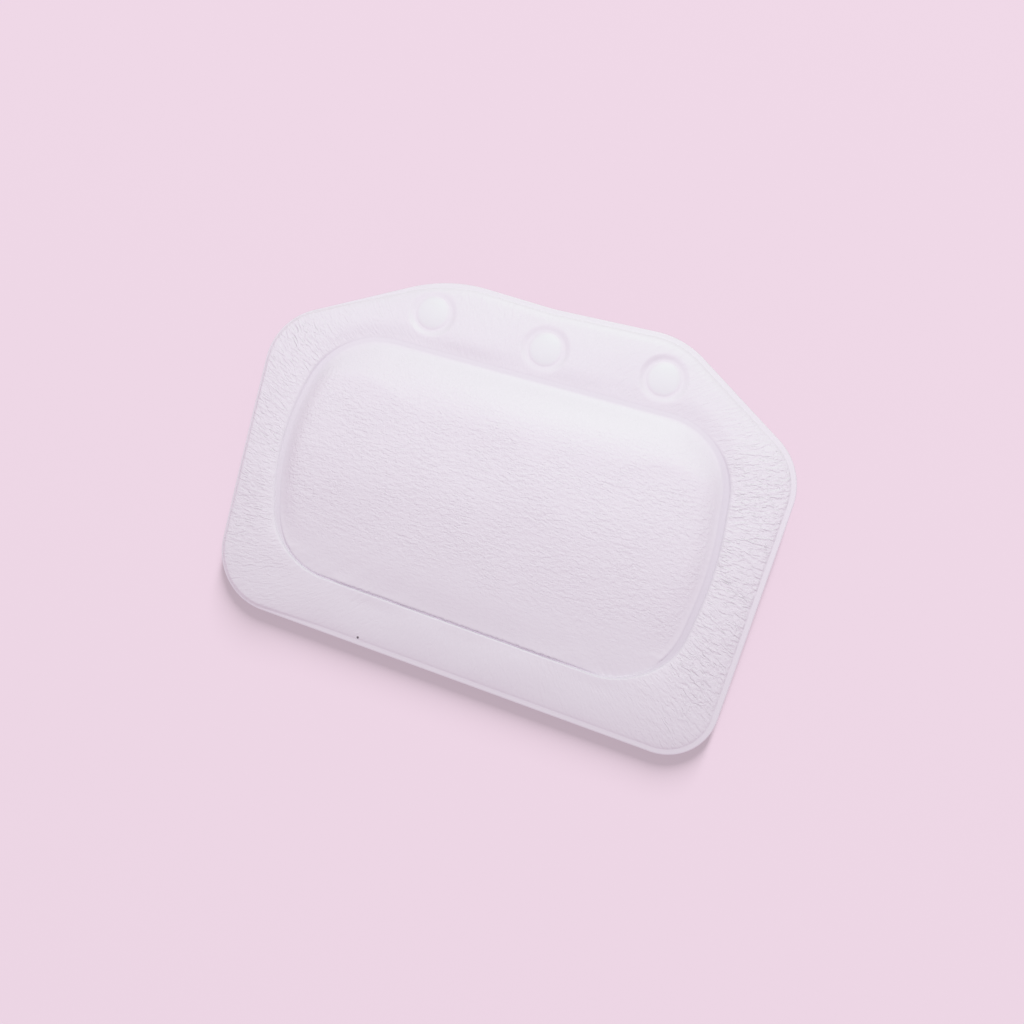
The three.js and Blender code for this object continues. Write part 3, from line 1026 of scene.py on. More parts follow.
    def front_height(self, points: Array, m: dict[str, Array]) -> Array:
        """The outer face of the front sheet.

        The margin is a shoulder from the channel times a shoulder from the edge. The pockets sink
        to their ring welds and rise again in low domes. The channel lies on its floor.

        Args:
            points: across and up of each point.
            m: the measures of those points.

        Returns:
            The height of each point before the sag.
        """
        s = self.shape
        crease = self.styled(m["upward"], "pucker")
        lie = self.lie.over(points)
        into = np.maximum(m["into_crown"], 0)
        crown = self.crown_rise(points, into, m["upward"])
        rise = (crown - self.styled(m["upward"], "floor")) / s.crown_height
        puckers = self.puckers.at(m["arc"])
        ripple = self.ripple.at(m["arc"])
        fading = np.exp(-into / self.CREASE_REACH) * np.minimum(into / self.CREASE_START, 1)
        crown = crown - crease * (0.5 + 0.5 * puckers) * fading
        fading = np.exp(-into / self.RIPPLE_REACH) * np.minimum(into / self.RIPPLE_START, 1)
        crown = crown + self.RIPPLE_SHARE * crease * ripple * fading
        crown = crown + self.LIE_ON_CUSHION * lie * rise
        padding = self.padding(m)
        out = np.maximum(m["into_margin"], 0)
        fading = smooth(0, self.LIE_START, out)
        margin = s.margin_rise * padding + self.LIE_ON_MARGIN * lie * padding * fading
        fading = np.exp(-out / self.MARGIN_CREASE_REACH) * np.minimum(out, 1)
        margin = margin + self.MARGIN_CREASE_SHARE * crease * puckers * fading
        far = self.from_cups(points)
        pit = smooth(s.pocket_edge - 0.4, s.pocket_edge + s.pit_slope, far)
        pocket = s.pocket_rise * np.clip(1 - (far / s.pocket_radius) ** 2, 0, 1) ** 0.85
        margin = margin * pit + np.minimum(s.pit_floor, margin) * (1 - pit) + pocket
        bead = self.edge_bead(m)
        floor = self.styled(m["upward"], "floor")
        height = np.where(m["inside"], crown, margin)
        height = np.where((m["into_crown"] <= 0) & (m["into_margin"] <= 0), floor, height)
        return s.front_level + height + bead

    def front_surface(self, layout: Layout) -> Array:
        """The outer face of the front sheet, with the cushion bulging over its channel."""
        points = layout.points
        m = self.measures(points)
        surface = self.settled(points, self.front_height(points, m))
        _, out = self.seam.at(m["arc"])
        into = np.maximum(m["into_crown"], 0)
        bulge = self.styled(m["upward"], "overhang") * (into / 1.2) * np.exp(1 - into / 1.2)
        jagged = 1 + 0.55 * self.puckers.at(m["arc"]) + 0.3 * self.ripple.at(m["arc"])
        surface[:, :2] += out * (bulge * jagged * m["inside"])[:, None]
        return surface

    def inner_face(self, layout: Layout, surface: Array, flat: float, inwards: float) -> Array:
        """The inner face of a sheet: its outer face moved in by its thickness, and flat at welds.

        Args:
            layout: the layout of the sheet.
            surface: the sheet's outer face.
            flat: the height of its inner face where it is welded.
            inwards: -1 where inwards is down, and 1 where it is up.

        Returns:
            The inner face's points.
        """
        points = layout.points
        m = self.measures(points)
        moved = surface + inwards * self.shape.sheet * layout.normals(surface)
        level = self.settled(points, np.full(len(points), flat))
        in_channel = (m["into_crown"] <= 0) & (m["into_margin"] <= 0)
        into = np.where(in_channel, 0, np.maximum(m["into_crown"], m["into_margin"]))
        loose = smooth(*self.PARTING, into)
        loose = loose * smooth(*self.PARTING, m["from_edge"] - self.shape.edge_width)
        far = self.from_cups(points)
        ring = 1 - smooth(*self.PARTING, far - self.shape.pocket_edge)
        loose = loose * (1 - ring * smooth(*self.POCKET_INSIDE, far))
        return level + (moved - level) * loose[:, None]

    def belly_height(self, share: Array) -> Array:
        """The outer face of the back sheet under the cushion: a flat, rising softly to the weld."""
        s = self.shape
        t = np.clip((share - s.belly_flat) / (1 - s.belly_flat), 0, 1)
        return s.back_level * (1 - (1 - t**s.belly_spread) ** s.belly_fall)

    def back_surface(self, layout: Layout) -> Array:
        """The outer face of the back sheet."""
        s = self.shape
        points = layout.points
        m = self.measures(points)
        foot = m["from_seam"] - self.styled(m["upward"], "inner")
        belly = self.belly_height(np.where(foot > 0, np.minimum(m["share"], 1), 1))
        padding = self.padding(m) * smooth(*self.CUP_CLEARING, self.from_cups(points))
        margin = s.back_level - s.back_padding * padding
        height = np.where(m["inside"], belly, margin)
        return self.settled(points, height + self.cut_rounding(m["from_edge"]))

    # Solids

    def cover_grain(self, obj: bpy.types.Object, layout: Layout) -> None:
        """Stores where the emboss runs, how deep it is, where the channel gets its painted shade, and
        where the domes are tinted.

        The place on the margin is a cylinder: the seam's whole turn becomes a circle, and the
        distance from the seam its height, so that the wrinkles can run across the margin.
        """
        s = self.shape
        points = layout.points
        m = self.measures(points)
        turn = m["arc"] / self.seam.length * math.tau
        radius = (self.seam.length + self.outline.length) / 2 / math.tau
        lean, more = self.WRINKLE_LEAN
        turn = turn + (lean + more * m["left"]) * m["from_seam"] / radius
        wrapped = np.column_stack([radius * np.cos(turn), radius * np.sin(turn), m["from_seam"]])
        far = self.from_cups(points)
        into = np.maximum(m["into_crown"], m["into_margin"])
        land = self.land(m)
        start = np.where(m["inside"], smooth(2.0, 6.0, into), smooth(0.0, 3.0, into))
        depth = start * smooth(land, land + 1.5, m["from_edge"])
        depth = depth * smooth(s.pocket_edge, s.pocket_edge + 5, far)
        depth = depth * self.slack.over(points, m["inside"]) * (1 + 0.15 * self.lie.over(points * 2))
        # Painted shade in the channel's crease, a little of it the pressed sheet's own tone, less of it
        # on the left
        shade = self.styled(m["upward"], "shade") * (1 - 0.5 * m["left"])
        welded = (1 - smooth(0.0, 1.5, into)) * shade
        for name, values in (
            ("grain_place", wrapped * MM),
            ("grain_depth", np.clip(depth, 0, 1.2)),
            ("on_cushion", m["inside"].astype(float)),
            ("welded", np.clip(welded, 0, 1)),
            ("over_head", 1 - smooth(s.pocket_radius - 2.5, s.pocket_radius, far)),
        ):
            store(obj, name, np.concatenate([values, values]))


# Finishes


def linear(colour: str) -> tuple[float, float, float, float]:
    """Turns an sRGB hex colour into linear light, with an alpha of 1."""
    parts = np.array([int(colour[i : i + 2], 16) for i in (0, 2, 4)]) / 255
    low, high = parts / 12.92, ((parts + 0.055) / 1.055) ** 2.4
    return (*np.where(parts <= 0.04045, low, high).tolist(), 1.0)


def add_node(
    tree: bpy.types.NodeTree,
    kind: str,
    settings: dict[str, Any] | None = None,
    inputs: dict[Any, Any] | None = None,
) -> bpy.types.Node:
    """Adds a node with its settings, values and links.

    Args:
        tree: the node tree.
        kind: the node's type.
        settings: properties of the node.
        inputs: a value or an output socket for each input, by name or number.

    Returns:
        The node.
    """
    node = tree.nodes.new(kind)
    for name, value in (settings or {}).items():
        setattr(node, name, value)
    for name, value in (inputs or {}).items():
        if isinstance(value, bpy.types.NodeSocket):
            tree.links.new(value, node.inputs[name])
        else:
            node.inputs[name].default_value = value
    return node


def fresh_tree(owner: bpy.types.Material | bpy.types.World) -> bpy.types.NodeTree:
    """Turns on the nodes of a material or a world, and clears them."""
    owner.use_nodes = True
    owner.node_tree.nodes.clear()
    return owner.node_tree


@dataclass(frozen=True)
class Finish:
    """What every finish has: a name, a colour and how its surface scatters light."""

    name: str
    colour: str
    roughness: float
    ior: float
    subsurface: float = 0.0
    transmission: float = 0.0

    def relief(self, tree: bpy.types.NodeTree) -> tuple[Any, Any]:
        """Adds the surface's pattern. Returns its colour and normal sockets, or None for either."""
        return None, None

    def material(self) -> bpy.types.Material:
        """Makes the material."""
        material = bpy.data.materials.new(self.name)
        tree = fresh_tree(material)
        colour, normal = self.relief(tree)
        inputs: dict[Any, Any] = {
            "Base Color": colour or linear(self.colour),
            "Roughness": self.roughness,
            "IOR": self.ior,
            "Subsurface Weight": self.subsurface,
            "Subsurface Radius": (1.0, 0.9, 0.95),
            "Subsurface Scale": 1.5 * MM,
            "Transmission Weight": self.transmission,
        }
        if normal is not None:
            inputs["Normal"] = normal
        shader = add_node(tree, "ShaderNodeBsdfPrincipled", inputs=inputs)
        add_node(tree, "ShaderNodeOutputMaterial", inputs={"Surface": shader.outputs[0]})
        return material


@dataclass(frozen=True)
class EmbossedVinyl(Finish):
    """Calendered PVC sheet with a crepe emboss: fine irregular wrinkles a few millimetres long.

    Attributes:
        wrinkle_width: the spacing of wrinkles across them.
        wrinkle_length: how long they are.
        depth: how deep the emboss is.
        weld_shade_colour: the channel's dimmer colour, mostly painted shade in its crease and partly the
            pressed-thin sheet's own tone.
        dome_tint_colour: a cooler, less pink tint given to the pockets' domes.
    """

    wrinkle_width: float = 2.2
    wrinkle_length: float = 5.5
    depth: float = 0.52
    weld_shade_colour: str = "E0DAE3"
    dome_tint_colour: str = "EAE9ED"

    def wrinkles(self, tree: bpy.types.NodeTree, place: Any, sizes: Sequence[float], bend: float) -> Any:
        """A field of wrinkles whose features have the given sizes along the three axes."""
        stretch = add_node(
            tree,
            "ShaderNodeMapping",
            {"vector_type": "TEXTURE"},
            {0: place, "Scale": [size * MM for size in sizes]},
        )
        noise = add_node(
            tree,
            "ShaderNodeTexNoise",
            {"noise_dimensions": "3D"},
            {0: stretch.outputs[0], "Scale": 1.0, "Detail": 1.0, "Roughness": 0.4, "Distortion": bend},
        )
        return noise.outputs[0]

    def relief(self, tree: bpy.types.NodeTree) -> tuple[Any, Any]:
        """Adds the emboss across the margins and along the cushion, painted shade in the welded channel
        and a tint on the domes.
        """
        width, length = self.wrinkle_width, self.wrinkle_length
        wrapped = add_node(tree, "ShaderNodeAttribute", {"attribute_name": "grain_place"})
        flat = add_node(tree, "ShaderNodeTexCoord")
        margin = self.wrinkles(tree, wrapped.outputs["Vector"], (width, width, length), 0.9)
        pebble = width * 0.75
        along = self.wrinkles(tree, flat.outputs["Object"], (pebble * 2.4, pebble, pebble), 0.6)
        across = self.wrinkles(tree, flat.outputs["Object"], (pebble, pebble * 2.2, pebble), 0.6)
        crossed = add_node(
            tree, "ShaderNodeMix", {"data_type": "FLOAT"}, {0: 0.4, 2: along, 3: across}
        )
        cushion = add_node(tree, "ShaderNodeAttribute", {"attribute_name": "on_cushion"})
        both = add_node(
            tree,
            "ShaderNodeMix",
            {"data_type": "FLOAT"},
            {0: cushion.outputs["Fac"], 2: margin, 3: crossed.outputs[0]},
        )
        fine = self.wrinkles(tree, flat.outputs["Object"], (0.9, 0.9, 0.9), 0.0)
        grain = add_node(
            tree, "ShaderNodeMix", {"data_type": "FLOAT"}, {0: 0.2, 2: both.outputs[0], 3: fine}
        )
        plateau = add_node(
            tree,
            "ShaderNodeMapRange",
            {"interpolation_type": "SMOOTHSTEP"},
            {0: grain.outputs[0], 1: 0.26, 2: 0.74},
        )
        depth = add_node(tree, "ShaderNodeAttribute", {"attribute_name": "grain_depth"})
        height = add_node(
            tree,
            "ShaderNodeMath",
            {"operation": "MULTIPLY"},
            {0: plateau.outputs[0], 1: depth.outputs["Fac"]},
        )
        bump = add_node(
            tree,
            "ShaderNodeBump",
            inputs={"Strength": 1.0, "Distance": self.depth * MM, "Height": height.outputs[0]},
        )
        # Painted shade: the colour dims towards the weld colour in the channel's crease, partly the
        # pressed sheet's own tone
        welded = add_node(tree, "ShaderNodeAttribute", {"attribute_name": "welded"})
        colour = add_node(
            tree,
            "ShaderNodeMix",
            {"data_type": "RGBA"},
            {0: welded.outputs["Fac"], 6: linear(self.colour), 7: linear(self.weld_shade_colour)},
        )
        # A cooler, less pink tint on the pockets' domes
        over_head = add_node(tree, "ShaderNodeAttribute", {"attribute_name": "over_head"})
        dome_tinted = add_node(
            tree,
            "ShaderNodeMix",
            {"data_type": "RGBA"},
            {0: over_head.outputs["Fac"], 6: colour.outputs[2], 7: linear(self.dome_tint_colour)},
        )
        return dome_tinted.outputs[2], bump.outputs[0]


@dataclass(frozen=True)
class StippledSheet(Finish):
    """Plain calendered PVC backing with a fine matt stipple.

    Attributes:
        grit: the spacing of the stipple.
        depth: how deep it is.
    """

    grit: float = 1.1
    depth: float = 0.04

    def relief(self, tree: bpy.types.NodeTree) -> tuple[Any, Any]:
        """Adds the stipple, and a slight change of tone over the sheet."""
        flat = add_node(tree, "ShaderNodeTexCoord")
        place = flat.outputs["Object"]
        fine = add_node(
            tree, "ShaderNodeTexNoise", inputs={0: place, "Scale": 1 / (self.grit * MM), "Detail": 2.0}
        )
        bump = add_node(
            tree,
            "ShaderNodeBump",
            inputs={"Strength": 1.0, "Distance": self.depth * MM, "Height": fine.outputs[0]},
        )
        broad = add_node(tree, "ShaderNodeTexNoise", inputs={0: place, "Scale": 25.0, "Detail": 2.0})
        tone = add_node(
            tree, "ShaderNodeMapRange", inputs={0: broad.outputs[0], 1: 0.3, 2: 0.7, 3: 0.96, 4: 1.03}
        )
        colour = add_node(
            tree,
            "ShaderNodeVectorMath",
            {"operation": "SCALE"},
            {0: linear(self.colour)[:3], "Scale": tone.outputs[0]},
        )
        return colour.outputs[0], bump.outputs[0]


@dataclass(frozen=True)
class OpenCellFoam(Finish):
    """Polyurethane foam, cut from a block: open cells under a millimetre across.

    Attributes:
        cell: the cells' size, drawn a little coarse so that it shows.
    """

    cell: float = 1.2

    def relief(self, tree: bpy.types.NodeTree) -> tuple[Any, Any]:
        """Adds the cells as pits, with painted shade dimming their insides."""
        flat = add_node(tree, "ShaderNodeTexCoord")
        cells = add_node(
            tree,
            "ShaderNodeTexVoronoi",
            {"feature": "SMOOTH_F1"},
            {0: flat.outputs["Object"], "Scale": 1 / (self.cell * MM)},
        )
        bump = add_node(
            tree,
            "ShaderNodeBump",
            {"invert": True},
            {"Strength": 1.0, "Distance": 0.3 * MM, "Height": cells.outputs["Distance"]},
        )
        # Painted shade: the foam's colour dims where its pits lie deepest
        pit_shade = [channel * 0.8 for channel in linear(self.colour)[:3]] + [1.0]
        colour = add_node(
            tree,
            "ShaderNodeMix",
            {"data_type": "RGBA"},
            {0: cells.outputs["Distance"], 6: linear(self.colour), 7: pit_shade},
        )
        return colour.outputs[2], bump.outputs[0]


@dataclass(frozen=True)
class MouldedVinyl(Finish):
    """Soft moulded PVC, glossy from a polished mould, with faint flow marks."""

    def relief(self, tree: bpy.types.NodeTree) -> tuple[Any, Any]:
        """Adds the flow marks as a slow waviness of the surface."""
        flat = add_node(tree, "ShaderNodeTexCoord")
        flow = add_node(
            tree,
            "ShaderNodeTexNoise",
            inputs={0: flat.outputs["Object"], "Scale": 140.0, "Detail": 1.0, "Distortion": 0.8},
        )
        bump = add_node(
            tree,
            "ShaderNodeBump",
            inputs={"Strength": 0.6, "Distance": 0.15 * MM, "Height": flow.outputs[0]},
        )
        return None, bump.outputs[0]


FRONT_VINYL = EmbossedVinyl("embossed_pvc_sheet", "EAE5EC", 0.42, 1.54)
BACK_VINYL = StippledSheet("calendered_pvc_sheet", "E6E1E9", 0.5, 1.54)
FOAM = OpenCellFoam("polyurethane_foam", "EFE9DC", 0.9, 1.45)
CUP_VINYL = MouldedVinyl("clear_moulded_pvc", "F1F3F6", 0.2, 1.53, transmission=0.35)
RING_VINYL = MouldedVinyl("white_moulded_pvc", "EDEAEF", 0.35, 1.54)


# Pieces


@dataclass
class Piece:
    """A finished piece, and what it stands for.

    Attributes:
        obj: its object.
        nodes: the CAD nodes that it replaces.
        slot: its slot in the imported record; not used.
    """

    obj: bpy.types.Object
    nodes: tuple[str, ...]
    slot: str

    def dressed(self, material: bpy.types.Material) -> "Piece":
        """Gives the piece its material, hides the CAD nodes that it replaces, and logs its face count."""
        self.obj.data.materials.append(material)
        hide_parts(*self.nodes)
        LOG.info("%s: %d faces", self.obj.name, len(self.obj.data.polygons))
        return self


def bend_over_fold(obj: bpy.types.Object) -> None:
    """Bakes a piece's placement into its mesh; nothing here bends it at the fold."""
    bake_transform(obj)


@dataclass
class Covers:
    """The two sheets, each in one piece over the pad and the flap."""

    surfaces: PillowSurfaces
    fine_spokes: int = 820
    coarse_spokes: int = 520

    def pocket_rings(self) -> list[float]:
        """The rings of the fine round mesh at each pocket, closest together at its weld."""
        s = self.surfaces.shape
        outer = s.pocket_edge + s.pit_slope + 0.6
        slope = np.linspace(outer, s.pocket_radius + 0.15, 17)
        foot = s.pocket_radius - np.array([0.0, 0.1, 0.3, 0.6, 1.0, 1.5, 2.1, 2.8])
        dome = np.linspace(foot[-1], 0.6, 9)[1:]
        return [*slope, *foot, *dome]

    def front(self) -> Piece:
        """Builds the front sheet, with its pockets and drain hole."""
        surfaces = self.surfaces
        s = surfaces.shape
        layout = surfaces.sheet_layout(self.fine_spokes)
        for place in surfaces.cups.values():
            layout.punch(place, self.pocket_rings(), closed=True)
        drain = np.array(s.drain_place)
        layout.punch(drain, [3.2, 2.4, 1.8, 1.35, 1.05, 0.9, s.drain_radius], closed=False)
        layout = layout.tidied()
        top = surfaces.front_surface(layout)
        under = surfaces.inner_face(layout, top, s.weld_height + 0.05, -1)
        piece = Piece(
            solid_between("front_cover_sheet", layout, top, under),
            ("front_cover", "front_cover_flap"),
            "front_vinyl",
        )
        surfaces.cover_grain(piece.obj, layout)
        bend_over_fold(piece.obj)
        return piece.dressed(FRONT_VINYL.material())

    def back(self) -> Piece:
        """Builds the back sheet, with a hole for each suction cup's neck."""
        surfaces = self.surfaces
        s = surfaces.shape
        layout = surfaces.sheet_layout(self.coarse_spokes)
        for place in surfaces.cups.values():
            layout.punch(place, [*np.linspace(14, 5.0, 8), 4.6, 4.2], closed=False)
        layout = layout.tidied()
        bottom = surfaces.back_surface(layout)
        inner = surfaces.inner_face(layout, bottom, s.weld_height - 0.05, 1)
        piece = Piece(
            solid_between("back_cover_sheet", layout, inner, bottom),
            ("back_cover", "back_cover_flap"),
            "back_vinyl",
        )
        bend_over_fold(piece.obj)
        return piece.dressed(BACK_VINYL.material())


@dataclass
class FoamFilling:
    """The cushion's core, and the thin foam in the margin and in the flap."""

    surfaces: PillowSurfaces
    spokes: int = 260
    setback: float = 1.6
    fold_setback: float = 8.0
    flap_overlap: float = 7.0
    pocket_clearance: float = 1.2

    def filled(self, name: str, layout: Layout, top: Array, bottom: Array) -> bpy.types.Object:
        """Makes the foam between two heights over a layout, which sags as the sheets do."""
        settled, points = self.surfaces.settled, layout.points
        return solid_between(name, layout, settled(points, top), settled(points, bottom))

    def core(self) -> Piece:
        """Builds the foam that fills the cushion between the two sheets."""
        surfaces = self.surfaces
        s = surfaces.shape
        rows = np.stack(surfaces.crown_rows(surfaces.spokes(self.spokes), self.setback))
        layout = Layout.from_rows(rows, s.middle)
        m = surfaces.measures(layout.points)
        into = np.maximum(m["into_crown"] - self.setback, 0)
        rise = surfaces.crown_rise(layout.points, into, m["upward"])
        skin = s.sheet + s.foam_gap + 0.5
        top = s.weld_height + 0.4 + np.maximum(rise - skin * np.minimum(rise / skin, 1), 0)
        reach = (s.back_level - surfaces.belly_height(m["share"])) / s.back_level
        bottom = s.weld_height - 0.4 - (s.weld_height - 0.4 - s.sheet - s.foam_gap) * reach**1.2
        obj = self.filled("cushion_core_foam", layout, top, bottom)
        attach(obj, "pad")
        return Piece(obj, ("cushion_core",), "foam").dressed(FOAM.material())

    def ring(self, name: str, keep_above: bool) -> bpy.types.Object:
        """Builds the foam on one side of the fold: a whole ring, cut straight and closed.

        Args:
            name: the object's name.
            keep_above: True for the flap's side of the fold, False for the margin's.

        Returns:
            The object.
        """
        surfaces = self.surfaces
        s = surfaces.shape
        edge = s.edge_width + self.setback
        inset = -self.flap_overlap if keep_above else self.setback
        rows = np.stack(surfaces.margin_rows(surfaces.spokes(self.spokes), inset, edge))
        layout = Layout.from_rows(rows, None)
        if keep_above:
            outer = s.pocket_edge + s.pit_slope + self.pocket_clearance
            for place in surfaces.cups.values():
                layout.punch(place, [outer + 1.5, outer + 0.7, outer], closed=False)
        layout = layout.tidied()
        m = surfaces.measures(layout.points)
        padding = surfaces.padding(m, self.setback)
        skin = s.sheet + s.foam_gap
        top = s.weld_height + 0.3 + np.maximum((s.margin_rise - skin + 0.6) * padding, 0)
        bottom = s.weld_height - 0.3 - 0.2 * padding
        obj = self.filled(name, layout, top, bottom)
        sign = 1 if keep_above else -1
        cut = (s.fold_line + BOTTOM_EDGE + sign * self.fold_setback) * MM
        work = bmesh.new()
        work.from_mesh(obj.data)
        bmesh.ops.bisect_plane(
            work,
            geom=work.verts[:] + work.edges[:] + work.faces[:],
            plane_co=(0, cut, 0),
            plane_no=(0, sign, 0),
            clear_inner=True,
        )
        bmesh.ops.holes_fill(work, edges=[e for e in work.edges if e.is_boundary])
        bmesh.ops.recalc_face_normals(work, faces=work.faces[:])
        work.to_mesh(obj.data)
        work.free()
        return obj

    def margin(self) -> Piece:
        """Builds the foam in the left, right and bottom margins."""
        obj = self.ring("margin_foam_sheet", keep_above=False)
        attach(obj, "pad")
        return Piece(obj, ("margin_foam",), "foam").dressed(FOAM.material())

    def flap(self) -> Piece:
        """Builds the foam in the flap, with room for the pockets."""
        obj = self.ring("flap_foam_sheet", keep_above=True)
        bend_over_fold(obj)
        return Piece(obj, ("flap_foam",), "foam").dressed(FOAM.material())


@dataclass
class SuctionCup:
    """One suction cup, moulded in one with its neck and head, and the ring that backs its hole."""

    surfaces: PillowSurfaces
    side: str
    lip_radius: float = 19.0
    lip_width: float = 2.0
    lip_thickness: float = 0.7
    hollow: float = 6.8
    shoulder_height: float = 9.6
    collar_radius: float = 6.0
    collar_top: float = 12.2
    neck_radius: float = 3.8
    head_radius: float = 6.5
    head_bottom: float = 15.15
    head_top: float = 17.55
    ring_radius: float = 8.2
    ring_hole: float = 4.2
    ring_bottom: float = 12.5
    ring_top: float = 13.55
    steps: int = 96

    def profile(self) -> Array:
        """The cup's half section from the axis under the hollow, round the outside, to the top."""
        quarter = np.linspace(0, 1, 15) * math.pi / 2
        inner_radius = self.lip_radius - self.lip_width
        hollow = np.column_stack(
            [inner_radius * np.sin(quarter), self.hollow * np.cos(quarter) ** 1.15]
        )
        lip_top = self.lip_radius - 0.3
        lip = np.array(
            [
                (self.lip_radius - 0.25, 0.0),
                (self.lip_radius - 0.05, 0.12),
                (self.lip_radius, 0.35),
                (self.lip_radius - 0.08, 0.6),
                (lip_top, self.lip_thickness),
            ]
        )
        rising = quarter[1:]
        bell = np.column_stack(
            [
                self.collar_radius + (lip_top - self.collar_radius) * np.cos(rising) ** 1.1,
                self.lip_thickness + (self.shoulder_height - self.lip_thickness) * np.sin(rising),
            ]
        )
        collar = np.array(
            [
                (self.collar_radius, self.collar_top - 0.5),
                (self.collar_radius - 0.15, self.collar_top - 0.15),
                (self.collar_radius - 0.5, self.collar_top),
                (self.neck_radius + 0.3, self.collar_top),
                (self.neck_radius, self.collar_top + 0.3),
                (self.neck_radius, self.head_bottom - 0.3),
                (self.neck_radius + 0.3, self.head_bottom),
                (self.head_radius - 0.4, self.head_bottom + 0.15),
                (self.head_radius, self.head_bottom + 0.5),
                (self.head_radius, self.head_bottom + 0.9),
            ]
        )
        rising = np.linspace(0, 1, 9)[1:] * math.pi / 2
        rise = self.head_top - self.head_bottom - 0.9
        head = np.column_stack(
            [
                self.head_radius * np.cos(rising) ** 0.8,
                self.head_bottom + 0.9 + rise * np.sin(rising),
            ]
        )
        head[-1, 0] = 0
        return np.concatenate([hollow, lip, bell, collar, head])

    def cup(self) -> Piece:
        """Builds the cup."""
        place = self.surfaces.cups[self.side]
        obj = turned(f"suction_cup_{self.side}_moulding", self.profile(), place, self.steps)
        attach(obj, f"cup_{self.side}")
        return Piece(obj, (f"suction_cup_{self.side}",), "clear_vinyl").dressed(CUP_VINYL.material())

    def ring(self) -> Piece:
        """Builds the reinforcing ring, with rounded edges."""
        low, high = self.ring_bottom, self.ring_top
        inner, outer = self.ring_hole, self.ring_radius
        edge = 0.3
        profile = np.array(
            [
                (inner + edge, low),
                (outer - edge, low),
                (outer - edge * 0.3, low + edge * 0.3),
                (outer, low + edge),
                (outer, high - 0.05),
                (outer - 0.05, high),
                (inner + 0.05, high),
                (inner, high - 0.05),
                (inner, low + edge),
                (inner + edge * 0.3, low + edge * 0.3),
            ]
        )
        place = self.surfaces.cups[self.side]
        obj = turned(f"reinforcing_ring_{self.side}_washer", profile, place, self.steps)
        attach(obj, "flap")
        return Piece(obj, (f"reinforcing_ring_{self.side}",), "ring_vinyl").dressed(RING_VINYL.material())


# The set


